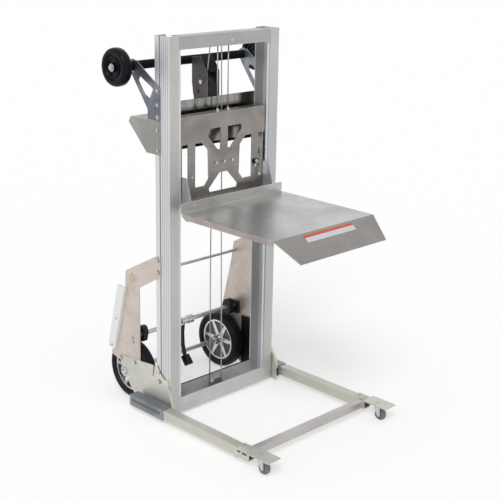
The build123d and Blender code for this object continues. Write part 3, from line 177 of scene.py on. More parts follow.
# Uprights: two C-shaped aluminium extrusions, drawn through a die that leaves fine lines
# along them, then satin anodised. A deep groove and shallow ribs run down the outer side, with painted
# shade in their bottoms.
def group(name, inputs, outputs):
    """An empty node group with its named sockets, and its two end nodes."""
    made = bpy.data.node_groups.new(name, "ShaderNodeTree")
    for label, kind in inputs:
        made.interface.new_socket(label, in_out="INPUT", socket_type=kind)
    for label, kind in outputs:
        made.interface.new_socket(label, in_out="OUTPUT", socket_type=kind)
    return made, made.nodes.new("NodeGroupInput"), made.nodes.new("NodeGroupOutput")


FLOAT = "NodeSocketFloat"
COLOUR = "NodeSocketColor"
VECTOR = "NodeSocketVector"
FINISH_OUTPUTS = [("Color", COLOUR), ("Roughness", FLOAT), ("Normal", VECTOR)]


def edge_wear_group():
    """A mask of the outer edges, broken up by noise, and a normal that rounds those edges."""
    made, start, end = group(
        "edge_wear", [("Width", FLOAT), ("Breakup", FLOAT)], [("Mask", FLOAT), ("Normal", VECTOR)]
    )
    rounded = node(made, "ShaderNodeBevel", samples=4)
    flat = node(made, "ShaderNodeNewGeometry")
    place = node(made, "ShaderNodeTexCoord")
    facing = node(made, "ShaderNodeVectorMath", operation="DOT_PRODUCT")
    spread = node(
        made, "ShaderNodeMapRange", {"From Min": 0.995, "From Max": 0.86, "To Min": 0.0, "To Max": 1.0}
    )
    chips = node(made, "ShaderNodeTexNoise", {"Scale": 160.0, "Detail": 3.0, "Roughness": 0.6})
    cut = node(made, "ShaderNodeMapRange", {"From Min": 0.35, "From Max": 0.60, "To Max": 1.0})
    keep = node(made, "ShaderNodeMix", data_type="FLOAT")
    mask = node(made, "ShaderNodeMath", operation="MULTIPLY", use_clamp=True)
    wire(
        made,
        (start.outputs["Width"], rounded.inputs["Radius"]),
        (rounded.outputs[0], facing.inputs[0]),
        (flat.outputs["Normal"], facing.inputs[1]),
        (facing.outputs["Value"], spread.inputs["Value"]),
        (place.outputs["Object"], chips.inputs["Vector"]),
        (chips.outputs[0], cut.inputs["Value"]),
        (start.outputs["Breakup"], keep.inputs[0]),
        (cut.outputs[0], keep.inputs[3]),
        (spread.outputs[0], mask.inputs[0]),
        (keep.outputs[0], mask.inputs[1]),
        (mask.outputs[0], end.inputs["Mask"]),
        (rounded.outputs[0], end.inputs["Normal"]),
    )
    keep.inputs[2].default_value = 1.0
    return made


def metal_finish_group(edges):
    """Metal: rolled or drawn lines, soft patches of plating, bright worn edges."""
    inputs = [
        ("Base", COLOUR), ("Patch", COLOUR), ("Edge", COLOUR), ("Line Scale", VECTOR),
        ("Line Depth", FLOAT), ("Patch Scale", FLOAT), ("Patch Amount", FLOAT), ("Edge Width", FLOAT),
        ("Edge Amount", FLOAT),
        ("Roughness", FLOAT), ("Spread", FLOAT), ("Relief", FLOAT),
    ]
    made, start, end = group("metal_finish", inputs, FINISH_OUTPUTS)
    place = node(made, "ShaderNodeTexCoord")
    stretch = node(made, "ShaderNodeMapping")
    lines = node(made, "ShaderNodeTexNoise", {"Scale": 1.0, "Detail": 4.0, "Roughness": 0.65})
    line_mask = node(made, "ShaderNodeMapRange", {"From Min": 0.30, "From Max": 0.70})
    clouds = node(made, "ShaderNodeTexNoise", {"Detail": 5.0, "Roughness": 0.55, "Distortion": 0.4})
    cloud_mask = node(
        made, "ShaderNodeMapRange", {"From Min": 0.36, "From Max": 0.64}, interpolation_type="SMOOTHSTEP"
    )
    cloud_part = node(made, "ShaderNodeMath", operation="MULTIPLY")
    patched = node(made, "ShaderNodeMix", data_type="RGBA")
    line_part = node(made, "ShaderNodeMath", operation="MULTIPLY")
    line_dark = node(made, "ShaderNodeMath", {0: 1.0}, operation="SUBTRACT")
    lined = node(made, "ShaderNodeMix", data_type="RGBA", blend_type="MULTIPLY")
    worn = node(made, "ShaderNodeGroup", node_tree=edges)
    worn.inputs["Breakup"].default_value = 0.7
    edge_part = node(made, "ShaderNodeMath", operation="MULTIPLY", use_clamp=True)
    edged = node(made, "ShaderNodeMix", data_type="RGBA")
    centred = node(made, "ShaderNodeMath", {1: 0.5}, operation="SUBTRACT")
    swing = node(made, "ShaderNodeMath", operation="MULTIPLY")
    cloud_swing = node(made, "ShaderNodeMath", operation="MULTIPLY")
    halfway = node(made, "ShaderNodeMath", {1: 0.5}, operation="MULTIPLY")
    total = node(made, "ShaderNodeMath", operation="ADD")
    rough = node(made, "ShaderNodeMath", operation="ADD", use_clamp=True)
    bump = node(made, "ShaderNodeBump", {"Distance": 0.0004})
    lined.inputs[0].default_value = 1.0
    wire(
        made,
        (place.outputs["Object"], stretch.inputs["Vector"]),
        (start.outputs["Line Scale"], stretch.inputs["Scale"]),
        (stretch.outputs[0], lines.inputs["Vector"]),
        (lines.outputs[0], line_mask.inputs["Value"]),
        (place.outputs["Object"], clouds.inputs["Vector"]),
        (start.outputs["Patch Scale"], clouds.inputs["Scale"]),
        (clouds.outputs[0], cloud_mask.inputs["Value"]),
        (cloud_mask.outputs[0], cloud_part.inputs[0]),
        (start.outputs["Patch Amount"], cloud_part.inputs[1]),
        (cloud_part.outputs[0], patched.inputs[0]),
        (start.outputs["Base"], patched.inputs[6]),
        (start.outputs["Patch"], patched.inputs[7]),
        (line_mask.outputs[0], line_part.inputs[0]),
        (start.outputs["Line Depth"], line_part.inputs[1]),
        (line_part.outputs[0], line_dark.inputs[1]),
        (patched.outputs[2], lined.inputs[6]),
        (line_dark.outputs[0], lined.inputs[7]),
        (start.outputs["Edge Width"], worn.inputs["Width"]),
        (worn.outputs["Mask"], edge_part.inputs[0]),
        (start.outputs["Edge Amount"], edge_part.inputs[1]),
        (edge_part.outputs[0], edged.inputs[0]),
        (lined.outputs[2], edged.inputs[6]),
        (start.outputs["Edge"], edged.inputs[7]),
        (edged.outputs[2], end.inputs["Color"]),
        (line_mask.outputs[0], centred.inputs[0]),
        (centred.outputs[0], swing.inputs[0]),
        (start.outputs["Spread"], swing.inputs[1]),
        (cloud_mask.outputs[0], halfway.inputs[0]),
        (halfway.outputs[0], cloud_swing.inputs[0]),
        (start.outputs["Spread"], cloud_swing.inputs[1]),
        (swing.outputs[0], total.inputs[0]),
        (cloud_swing.outputs[0], total.inputs[1]),
        (total.outputs[0], rough.inputs[0]),
        (start.outputs["Roughness"], rough.inputs[1]),
        (rough.outputs[0], end.inputs["Roughness"]),
        (start.outputs["Relief"], bump.inputs["Strength"]),
        (line_mask.outputs[0], bump.inputs["Height"]),
        (worn.outputs["Normal"], bump.inputs["Normal"]),
        (bump.outputs[0], end.inputs["Normal"]),
    )
    return made


edge_wear = edge_wear_group()
metal_finish = metal_finish_group(edge_wear)


def rgba(red, green, blue):
    """An opaque colour."""
    return (red, green, blue, 1.0)


def finished(name, finish, values, **shader_values):
    """A material whose colour, roughness and normal come from a finish group."""
    made = bpy.data.materials.new(name)
    made.use_nodes = True
    tree = made.node_tree
    shader = tree.nodes["Principled BSDF"]
    for key, value in shader_values.items():
        shader.inputs[key.replace("_", " ")].default_value = value
    look = node(tree, "ShaderNodeGroup", values, node_tree=finish)
    wire(
        tree,
        (look.outputs["Color"], shader.inputs["Base Color"]),
        (look.outputs["Roughness"], shader.inputs["Roughness"]),
        (look.outputs["Normal"], shader.inputs["Normal"]),
    )
    return made


def metal(name, base, patch, edge, lines, **changes):
    """A metal material from its three colours and the directions of its lines."""
    values = {
        "Base": rgba(*base), "Patch": rgba(*patch), "Edge": rgba(*edge), "Line Scale": lines,
        "Line Depth": 0.10, "Patch Scale": 6.0, "Patch Amount": 0.5, "Edge Width": 0.0010,
        "Edge Amount": 0.55, "Roughness": 0.36, "Spread": 0.12, "Relief": 0.12,
    }
    shader_values = {"Metallic": changes.pop("Metallic", 0.85)}
    values.update({key.replace("_", " "): value for key, value in changes.items()})
    return finished(name, metal_finish, values, **shader_values)


SMOOTH_ANGLE = radians(38)
SHARP_ANGLE = radians(34)
FLAT_ANGLE = radians(0.6)
MERGE_WITHIN = 1e-6


def shown(name, mesh, materials):
    """Turns a finished bmesh into an object with soft shading between its sharp edges."""
    data = bpy.data.meshes.new(name)
    mesh.to_mesh(data)
    mesh.free()
    data.shade_smooth()
    data.set_sharp_from_angle(angle=SMOOTH_ANGLE)
    for material in materials:
        data.materials.append(material)
    piece = bpy.data.objects.new(name, data)
    scene.collection.objects.link(piece)
    return piece


def piece_from(name, mesh, material, body, stands_for=()):
    """Turns a finished bmesh into a piece that rides on a body and hides the CAD nodes it stands in for.
    """
    piece = shown(name, mesh, material if isinstance(material, list) else [material])
    evened = piece.modifiers.new("even_normals", "WEIGHTED_NORMAL")
    evened.keep_sharp = True
    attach(piece, body)
    for name_of_node in stands_for:
        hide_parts(name_of_node)
    return piece


def body_with(name):
    """The body that carries a CAD node."""
    for body, names in frame["record"]["behaviour"]["bodies"].items():
        if name in names:
            return body
    raise KeyError(name)


def merged_copy(name):
    """A bmesh of a CAD node's own shape, whose loose triangles are merged."""
    mesh = bmesh.new()
    mesh.from_mesh(frame["nodes"][name].data)
    bmesh.ops.remove_doubles(mesh, verts=mesh.verts, dist=MERGE_WITHIN)
    return mesh


def break_edges(mesh, edges, width, segments=2, clamp_overlap=False):
    """Rounds edges as a file or a tumbling drum does."""
    bmesh.ops.bevel(
        mesh, geom=edges, offset=width, affect="EDGES", segments=segments, profile=0.5, material=-1,
        clamp_overlap=clamp_overlap,
    )


def eased(name, width, material, pick=None):
    """The node's own shape with its sharp edges broken by a real bevel, in place of the node.
    pick gives the number of the material from a face's centre and normal."""
    mesh = merged_copy(name)
    bmesh.ops.dissolve_limit(mesh, angle_limit=FLAT_ANGLE, verts=mesh.verts, edges=mesh.edges)
    folds = [edge for edge in mesh.edges if len(edge.link_faces) == 2]
    sharp = [edge for edge in folds if edge.calc_face_angle(0.0) > SHARP_ANGLE]
    break_edges(mesh, sharp, width, clamp_overlap=True)
    if pick:
        for face in mesh.faces:
            face.material_index = pick(face.calc_center_median(), face.normal)
    return piece_from(name + "_eased", mesh, material, body_with(name), [name])


ALONG_X = (7.0, 700.0, 700.0)
ALONG_Y = (700.0, 7.0, 700.0)
ALONG_Z = (700.0, 700.0, 5.0)
# Three copies of one anodised material, split by facing. A lighter one on the outer sides and the lip is
# painted light. A darker one on the front and back faces is painted shade. A lighter, less metallic one on
# the inner faces paints light into the shaded inside of the C.
rail = metal(
    "anodised_rail_lit", (0.76, 0.77, 0.79), (0.66, 0.69, 0.73), (0.95, 0.96, 0.97), ALONG_Z,
    Line_Depth=0.14, Patch_Scale=2.2, Patch_Amount=0.5, Roughness=0.34, Edge_Amount=0.6, Metallic=0.6,
)
rail_face_shaded = metal(
    "rail_face_shaded", (0.60, 0.59, 0.575), (0.52, 0.52, 0.52), (0.80, 0.80, 0.80), ALONG_Z,
    Line_Depth=0.16, Patch_Scale=2.2, Patch_Amount=0.5, Roughness=0.36, Edge_Amount=0.5, Metallic=0.6,
)
rail_inside_lit = metal(
    "rail_inside_lit", (0.74, 0.77, 0.81), (0.62, 0.66, 0.71), (0.95, 0.96, 0.97), ALONG_Z,
    Line_Depth=0.12, Patch_Scale=2.2, Patch_Amount=0.5, Roughness=0.40, Edge_Amount=0.6, Metallic=0.2,
)


def paint_groove_shade(material, low, high, shade_colour):
    """Paints shade into the bottom of a groove, which lies between two depths along Y."""
    tree = material.node_tree
    shader = tree.nodes["Principled BSDF"]
    before = shader.inputs["Base Color"].links[0].from_socket
    place = node(tree, "ShaderNodeTexCoord")
    split = node(tree, "ShaderNodeSeparateXYZ")
    centre = node(tree, "ShaderNodeMath", {1: (low + high) / 2}, operation="SUBTRACT")
    apart = node(tree, "ShaderNodeMath", operation="ABSOLUTE")
    half = (high - low) / 2
    inside = node(tree, "ShaderNodeMapRange", {"From Min": half, "From Max": half * 0.8, "To Max": 0.9})
    tint = node(tree, "ShaderNodeMix", data_type="RGBA")
    tint.inputs[7].default_value = shade_colour
    wire(
        tree,
        (place.outputs["Object"], split.inputs[0]),
        (split.outputs["Y"], centre.inputs[0]),
        (centre.outputs[0], apart.inputs[0]),
        (apart.outputs[0], inside.inputs["Value"]),
        (inside.outputs[0], tint.inputs[0]),
        (before, tint.inputs[6]),
        (tint.outputs[2], shader.inputs["Base Color"]),
    )


RAIL_OUT = 0.296
RAIL_DEPTH = 0.085
GROOVE_FRONT, GROOVE_REAR, GROOVE_FLOOR = 0.054, 0.060, 0.2930
RAIL_GROOVE = [
    (RAIL_OUT, GROOVE_FRONT), (GROOVE_FLOOR, GROOVE_FRONT), (GROOVE_FLOOR, GROOVE_REAR),
    (RAIL_OUT, GROOVE_REAR), (RAIL_OUT, RAIL_DEPTH),
]
RAIL_BACK = [(0.243, RAIL_DEPTH), (0.243, 0.081), (0.292, 0.081), (0.292, 0.008), (0.235, 0.008)]
LIP_IN = 0.2445
RAIL_LIP = [(0.235, 0.004), (LIP_IN, 0.004), (LIP_IN, 0.0072), (0.248, 0.0072), (0.248, 0.0)]
RIBS = range(1, 5)
RIB_PITCH = 0.0108
RIB_CUT = 0.0009
RIB_HALF = 0.001
RIB_SHADE_HALF = 0.0014
mast_low, mast_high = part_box("mast_uprights")
# Painted shade: the bottom of the groove and of each rib cut is darkened in the colour.
paint_groove_shade(rail, mast_low.y + GROOVE_FRONT, mast_low.y + GROOVE_REAR, rgba(0.05, 0.05, 0.055))
for rib in RIBS:
    middle = mast_low.y + RIB_PITCH * rib
    paint_groove_shade(rail, middle - RIB_SHADE_HALF, middle + RIB_SHADE_HALF, rgba(0.30, 0.31, 0.34))


def rail_mesh(sign):
    """One upright: its cross section drawn from above, pulled up to its full height."""
    outline = [(RAIL_OUT, 0.0)]
    for rib in RIBS:
        middle = RIB_PITCH * rib
        outline += [
            (RAIL_OUT, middle - RIB_HALF), (RAIL_OUT - RIB_CUT, middle - RIB_HALF),
            (RAIL_OUT - RIB_CUT, middle + RIB_HALF), (RAIL_OUT, middle + RIB_HALF),
        ]
    outline += RAIL_GROOVE + RAIL_BACK + RAIL_LIP
    mesh = bmesh.new()
    foot = mesh.faces.new([mesh.verts.new((sign * x, mast_low.y + y, mast_low.z)) for x, y in outline])
    pulled = bmesh.ops.extrude_face_region(mesh, geom=[foot])["geom"]
    top = [part for part in pulled if isinstance(part, bmesh.types.BMVert)]
    bmesh.ops.translate(mesh, verts=top, vec=(0.0, 0.0, mast_high.z - mast_low.z))
    bmesh.ops.recalc_face_normals(mesh, faces=mesh.faces)
    break_edges(mesh, mesh.edges[:], 0.0003, clamp_overlap=True)
    # Painted light and shade by facing: inner faces take the lit inside copy, outer sides and the lip the
    # lit copy, the rest the shaded face copy.
    for face in mesh.faces:
        across = sign * face.normal.x
        lip = abs(face.calc_center_median().x) < LIP_IN and face.normal.y < -0.5
        face.material_index = 2 if across < -0.3 else 0 if lip or across > 0.3 else 1
    return mesh


def joined(*meshes):
    """One bmesh that holds the faces of several."""
    whole = bmesh.new()
    for one in meshes:
        held = bpy.data.meshes.new("held")
        one.to_mesh(held)
        one.free()
        whole.from_mesh(held)
        bpy.data.meshes.remove(held)
    return whole


piece_from(
    "uprights", joined(rail_mesh(-1), rail_mesh(1)), [rail, rail_face_shaded, rail_inside_lit],
    body_with("mast_uprights"), ["mast_uprights"],
)

# Crossbar, bottom channel and sheave hangers: folded from 3 mm aluminium sheet with the marks of
# the rolling mill across them, and bolted between the two uprights.
cross_sheet = metal(
    "rolled_crossbar", (0.46, 0.455, 0.44), (0.38, 0.385, 0.39), (0.70, 0.70, 0.70), ALONG_X,
    Line_Depth=0.18, Patch_Scale=4.0, Patch_Amount=0.6, Roughness=0.33,
)
eased("top_crossbar", 0.0008, cross_sheet)
# Painted light: the bottom channel's sheet is lighter and less metallic than the crossbar's, to stand in
# for light inside the channel.
channel_sheet_lit = metal(
    "channel_sheet_lit", (0.70, 0.70, 0.69), (0.56, 0.57, 0.58), (0.90, 0.90, 0.90), ALONG_X,
    Line_Depth=0.18, Patch_Scale=5.0, Patch_Amount=0.7, Roughness=0.36, Metallic=0.25,
)
eased("bottom_channel", 0.0008, channel_sheet_lit)
eased("sheave_hangers", 0.0006, cross_sheet)

# Brackets and console: sheet steel, laser cut and folded, then zinc plated, which leaves warm
# patches on the wheel brackets and a blue sheen on the handle brackets. Bolted to the uprights.
bracket = metal(
    "warm_zinc", (0.68, 0.60, 0.54), (0.58, 0.52, 0.48), (0.84, 0.80, 0.76), (60.0, 60.0, 60.0),
    Line_Depth=0.10, Patch_Scale=11.0, Patch_Amount=0.8, Roughness=0.40, Relief=0.06, Metallic=0.6,
)
eased("wheel_brackets", 0.0008, bracket)
blue_steel = metal(
    "blue_steel", (0.30, 0.315, 0.35), (0.145, 0.155, 0.185), (0.74, 0.75, 0.78), (40.0, 40.0, 40.0),
    Line_Depth=0.10, Patch_Scale=9.0, Patch_Amount=0.9, Roughness=0.30, Relief=0.05, Edge_Amount=0.7,
    Metallic=0.8,
)
eased("handle_brackets", 0.0008, blue_steel)
console = metal(
    "console_zinc", (0.41, 0.395, 0.37), (0.30, 0.295, 0.285), (0.78, 0.77, 0.73), ALONG_X,
    Line_Depth=0.14, Patch_Scale=5.0, Patch_Amount=0.8, Roughness=0.30,
)
eased("console_cover", 0.0008, console)

# Base plates, legs, sleeves and caster plates: steel plate and square tube, welded and then zinc
# plated with a yellow cast. The legs are clamped in slate-blue sleeves with a dark window.
base_steel = metal(
    "yellow_zinc", (0.66, 0.65, 0.57), (0.55, 0.56, 0.53), (0.78, 0.78, 0.72), (90.0, 90.0, 90.0),
    Line_Depth=0.08, Patch_Scale=9.0, Patch_Amount=0.75, Roughness=0.38, Relief=0.05, Metallic=0.6,
)
for name in ("base_brackets", "caster_plates", "leg_end_plates"):
    eased(name, 0.0008, base_steel)
tube = metal(
    "leg_tube_zinc", (0.64, 0.63, 0.55), (0.56, 0.56, 0.50), (0.78, 0.78, 0.72), ALONG_Y,
    Line_Depth=0.12, Patch_Scale=5.0, Patch_Amount=0.7, Roughness=0.34, Metallic=0.65,
)
eased("legs", 0.0012, tube)
slate = metal(
    "sleeve_slate", (0.30, 0.33, 0.37), (0.20, 0.225, 0.26), (0.70, 0.72, 0.74), ALONG_Y,
    Line_Depth=0.16, Patch_Scale=8.0, Patch_Amount=0.9, Roughness=0.28, Metallic=0.8,
)
eased("leg_sleeves", 0.0012, slate)
liner = metal(
    "liner_brown", (0.17, 0.15, 0.13), (0.11, 0.10, 0.09), (0.30, 0.28, 0.26), ALONG_Y,
    Patch_Scale=12.0, Roughness=0.50, Metallic=0.1,
)


def slab(name, low, high, material, body, width=0.0005):
    """A box between two corners with its edges broken."""
    mesh = bmesh.new()
    bmesh.ops.create_cube(mesh, size=1.0)
    low, high = Vector(low), Vector(high)
    bmesh.ops.scale(mesh, vec=high - low, verts=mesh.verts)
    bmesh.ops.translate(mesh, vec=(low + high) / 2, verts=mesh.verts)
    break_edges(mesh, mesh.edges[:], width)
    return piece_from(name, mesh, material, body)


SIDES = (("left", -1), ("right", 1))
LINER_IN = 0.3601
LINER_OUT = 0.3625
SLOT_BACK_OUT = 0.3612
for side, sign in SIDES:
    near, far = sorted((sign * LINER_IN, sign * LINER_OUT))
    low, high = (near, 0.1065, 0.0415), (far, 0.2855, 0.0575)
    slab("sleeve_liner_" + side, low, high, liner, "frame")
    near, far = sorted((sign * LINER_IN, sign * SLOT_BACK_OUT))
    low, high = (near, -0.3995, 0.0485), (far, -0.3425, 0.0595)
    slab("slot_back_" + side, low, high, liner, "frame")
cross_tube = metal(
    "cross_tube_zinc", (0.58, 0.55, 0.53), (0.48, 0.46, 0.46), (0.78, 0.78, 0.72), ALONG_X,
    Line_Depth=0.12, Patch_Scale=5.0, Patch_Amount=0.7, Roughness=0.30, Metallic=0.7,
)
eased("front_cross_tube", 0.0025, cross_tube)

# Rear panel and carriage plates: sheet metal, laser cut and folded, polished so far that it mirrors
# what stands round it. The panel is screwed to the uprights, and the carriage rolls inside them.
panel = metal(
    "mirror_panel", (0.36, 0.35, 0.34), (0.24, 0.22, 0.21), (0.70, 0.70, 0.70), (110.0, 110.0, 3.0),
    Line_Depth=0.35, Patch_Scale=5.0, Patch_Amount=0.7, Roughness=0.14, Spread=0.08, Metallic=1.0,
)
eased("rear_panel", 0.0006, panel)
carriage_sheet = metal(
    "carriage_sheet", (0.34, 0.315, 0.29), (0.22, 0.205, 0.19), (0.90, 0.89, 0.87), ALONG_X,
    Line_Depth=0.20, Patch_Scale=7.0, Patch_Amount=0.7, Roughness=0.27, Edge_Amount=0.8, Metallic=0.85,
)
eased("carriage_plate", 0.0008, carriage_sheet)
eased("carriage_side_plates", 0.0008, carriage_sheet)

# Platform: one sheet of stainless steel folded into a tray with skirts and a sloping front flap,
# brushed across and riveted on two folded arms of plated steel.
deck = metal(
    "brushed_deck", (0.57, 0.56, 0.54), (0.44, 0.45, 0.46), (0.92, 0.92, 0.91), ALONG_X,
    Line_Depth=0.14, Patch_Scale=5.5, Patch_Amount=0.8, Roughness=0.29, Spread=0.12, Relief=0.16,
    Edge_Width=0.0020, Edge_Amount=1.0, Metallic=0.9,
)
# The skirts and the flap take darker copies of the deck's colour, painted shade for faces that turn away
# from the light.
skirt = metal(
    "deck_skirt_shaded", (0.46, 0.41, 0.385), (0.33, 0.29, 0.275), (0.86, 0.85, 0.83), ALONG_Y,
    Line_Depth=0.14, Patch_Scale=9.0, Patch_Amount=0.8, Roughness=0.34, Edge_Amount=0.9, Metallic=0.6,
)
flap = metal(
    "deck_flap_shaded", (0.33, 0.315, 0.30), (0.27, 0.26, 0.25), (0.84, 0.84, 0.83), ALONG_X,
    Line_Depth=0.14, Patch_Scale=6.0, Patch_Amount=0.6, Roughness=0.36, Edge_Amount=0.9, Metallic=0.6,
)


FLAP_START = -0.4305
SKIRT_TOP = 0.8855


def deck_part(centre, normal):
    """0 the floor and its back flange, 1 the skirts at the sides, 2 the sloping flap; 1 and 2 take the
    painted-shade copies.
    """
    if centre.y < FLAP_START:
        return 2
    return 1 if abs(normal.x) > 0.5 and centre.z < SKIRT_TOP else 0


eased("platform_tray", 0.0009, [deck, skirt, flap], deck_part)
arm_sheet = metal(
    "arm_zinc", (0.52, 0.53, 0.53), (0.40, 0.42, 0.44), (0.84, 0.84, 0.83), (60.0, 60.0, 60.0),
    Line_Depth=0.08, Patch_Scale=9.0, Patch_Amount=0.8, Roughness=0.34, Edge_Amount=0.7, Metallic=0.6,
)
eased("platform_arms", 0.0009, arm_sheet)

# Rods, axles, shafts and sheaves: bright drawn or turned steel, lightly oiled, with fine marks
# along them. They run in the brackets and the hangers and are held by nuts and spacers.
bright = metal(
    "bright_steel", (0.66, 0.645, 0.61), (0.50, 0.485, 0.455), (0.88, 0.87, 0.85), ALONG_X,
    Line_Depth=0.14, Patch_Scale=16.0, Patch_Amount=0.5, Roughness=0.26, Metallic=0.8,
)
for name in (
    "handlebar_tube", "cross_rod", "rear_axle", "axle_nuts_and_spacers", "brake_rod", "head_sheave_axle",
    "roller_axles", "top_wheel_bolts", "drive_shaft", "head_sheaves", "bottom_sheave",
):
    eased(name, 0.0004, bright)

# Fasteners: zinc-plated bolts, nuts and rivets, a little brighter than the sheet they hold,
# and the two discs on the cross rod's ends, which are passivated yellow.
zinc = metal(
    "bolt_zinc", (0.60, 0.60, 0.58), (0.46, 0.46, 0.44), (0.84, 0.84, 0.82), (300.0, 300.0, 300.0),
    Line_Depth=0.10, Patch_Scale=60.0, Patch_Amount=0.6, Roughness=0.30, Metallic=0.95,
)
for name in ("frame_bolts", "carriage_bolts", "platform_rivets"):
    eased(name, 0.0004, zinc)
passivated = metal(
    "yellow_cap", (0.60, 0.53, 0.28), (0.52, 0.50, 0.36), (0.80, 0.76, 0.56), (200.0, 200.0, 200.0),
    Patch_Scale=50.0, Patch_Amount=0.8, Roughness=0.32, Metallic=0.8,
)
eased("cross_rod_caps", 0.0004, passivated)

# Winch drum and gear: turned and cut steel with a dark metallic coat that is worn bright at its
# edges, keyed on one shaft in the winch frame.
gunmetal = metal(
    "gunmetal_coat", (0.115, 0.105, 0.10), (0.075, 0.07, 0.068), (0.55, 0.54, 0.52), (40.0, 40.0, 40.0),
    Patch_Scale=9.0, Patch_Amount=0.8, Roughness=0.32, Edge_Amount=0.9, Edge_Width=0.0018, Metallic=0.6,
)
for name in ("winch_drum", "drum_gear"):
    eased(name, 0.0004, gunmetal)

# Cables: seven-strand steel wire rope, 5 mm thick, bright and lightly oiled. The parts round the
# sheaves and the drum keep their shape. The straight runs are copied as loose pieces in place of their
# nodes.
rope = metal(
    "wire_rope", (0.50, 0.50, 0.495), (0.34, 0.34, 0.335), (0.80, 0.80, 0.79), (500.0, 500.0, 500.0),
    Line_Depth=0.3, Relief=0.4, Roughness=0.34, Edge_Amount=0.0, Metallic=0.75,
)
for name in ("lift_cable", "loop_cable"):
    wound = frame["nodes"][name].data
    wound.materials.clear()
    wound.materials.append(rope)


def straight_run(name, cad_node):
    """A run of cable from a sheave to the carriage, copied from its node, which it hides."""
    run = shown(name, merged_copy(cad_node), [rope])
    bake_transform(run)
    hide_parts(cad_node)


straight_run("rope_above_carriage", "upper_cable_runs")
straight_run("rope_below_carriage", "lower_cable_run")

# Washers under the bolt heads on both sides of the frame, a ring round each yellow cap,
# and the bright bolt that holds the stop bumper. All are plated and sit on the sheet.
def turned(profile, centre, axis="X", steps=72):
    """A closed profile of (place along the axis, radius) spun round the axis."""
    mesh = bmesh.new()
    ring = [mesh.verts.new((along, radius, 0.0)) for along, radius in profile]
    edges = [mesh.edges.new((ring[turn - 1], ring[turn])) for turn in range(len(ring))]
    bmesh.ops.spin(
        mesh, geom=ring + edges, cent=(0, 0, 0), axis=(1, 0, 0), angle=2 * pi, steps=steps, use_merge=True,
        use_duplicate=False,
    )
    bmesh.ops.remove_doubles(mesh, verts=mesh.verts, dist=MERGE_WITHIN)
    bmesh.ops.recalc_face_normals(mesh, faces=mesh.faces)
    turn = Matrix.Rotation(pi / 2, 4, "Z") if axis == "Y" else Matrix.Identity(4)
    bmesh.ops.transform(mesh, matrix=Matrix.Translation(centre) @ turn, verts=mesh.verts)
    return mesh


def pointed(sign, profile):
    """A profile that points to the left (-1) or to the right (1)."""
    return [(sign * along, radius) for along, radius in profile]


def both_sides(side):
    """A profile that is the same on both sides of the middle plane, from one side's points."""
    return pointed(-1, side) + side[::-1]


WIDE = (0.0073, 0.0105)
SMALL = (0.0055, 0.0082)
FRAME_WASHERS = [
    (0.300, 0.182, 1.351, WIDE), (0.300, 0.182, 1.297, WIDE), (0.300, 0.182, 1.250, WIDE),
    (0.300, 0.183, 1.200, WIDE), (0.300, 0.183, 1.121, WIDE), (0.300, 0.187, 0.672, WIDE),
    (0.300, 0.187, 0.622, WIDE), (0.304, 0.337, 0.186, WIDE), (0.304, 0.429, 0.181, WIDE),
    (0.300, 0.355, 0.294, SMALL), (0.300, 0.352, 0.275, SMALL), (0.304, 0.143, 0.060, WIDE),
    (0.304, 0.178, 0.150, WIDE),
]
washer_zinc = metal(
    "washer_zinc", (0.40, 0.37, 0.34), (0.28, 0.26, 0.24), (0.86, 0.85, 0.83), (300.0, 300.0, 300.0),
    Patch_Scale=60.0, Patch_Amount=0.6, Roughness=0.30, Edge_Amount=0.9, Metallic=0.85,
)


def washer_ring(place, sign, inner, outer, thick=0.0012):
    """A flat ring with a rounded rim that lies on the outer side of the frame."""
    ring = [(0.0, inner), (0.0, outer), (thick * 0.6, outer), (thick, outer - 0.0005), (thick, inner)]
    x, y, z = place
    return turned(pointed(sign, ring), (sign * x, y, z), steps=32)


rings = [washer_ring((x, y, z), sign, *size) for sign in (-1, 1) for x, y, z, size in FRAME_WASHERS]
piece_from("frame_washers", joined(*rings), washer_zinc, "frame")
CAP_PLACE = (0.300, 0.353, 0.558)
rings = [washer_ring(CAP_PLACE, sign, 0.0142, 0.0178, 0.0016) for sign in (-1, 1)]
piece_from("cap_rings", joined(*rings), passivated, "frame")
bumper_low, bumper_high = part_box("stop_bumpers")
bumper_middle = (bumper_low + bumper_high) / 2
bumper_face = (bumper_middle.x, bumper_low.y, bumper_middle.z)
STUD = [
    (0.0, 0.0), (0.0, 0.0088), (-0.0015, 0.0088), (-0.0018, 0.0060), (-0.0055, 0.0060),
    (-0.0062, 0.0050), (-0.0062, 0.0),
]
HEXAGON = 6
stud = turned(STUD, bumper_face, "Y", HEXAGON)
piece_from("bumper_stud", stud, zinc, body_with("stop_bumpers"))

# Hubs of the rear wheels: cast aluminium with open spokes, machined on the rim, polished on the
# spokes, and pressed on bearings on the rear axle.
cast = metal(
    "cast_hub", (0.70, 0.71, 0.72), (0.55, 0.56, 0.58), (0.90, 0.90, 0.90), (120.0, 120.0, 120.0),
    Line_Depth=0.10, Patch_Scale=18.0, Patch_Amount=0.5, Roughness=0.22, Metallic=1.0,
)
for name in ("rear_hub_left", "rear_hub_right"):
    eased(name, 0.0012, cast)

# Caster forks and the bottom sheave's bracket: pressed from steel sheet and chrome plated. The forks
# turn on a king pin under the caster plates, and the bracket is riveted in the bottom channel.
chrome = metal(
    "plated_pressing", (0.62, 0.62, 0.63), (0.50, 0.50, 0.51), (0.86, 0.86, 0.86), (150.0, 150.0, 150.0),
    Line_Depth=0.06, Patch_Scale=20.0, Patch_Amount=0.5, Roughness=0.18, Metallic=1.0,
)
for name in ("caster_fork_left", "caster_fork_right", "bottom_sheave_bracket"):
    eased(name, 0.0006, chrome)


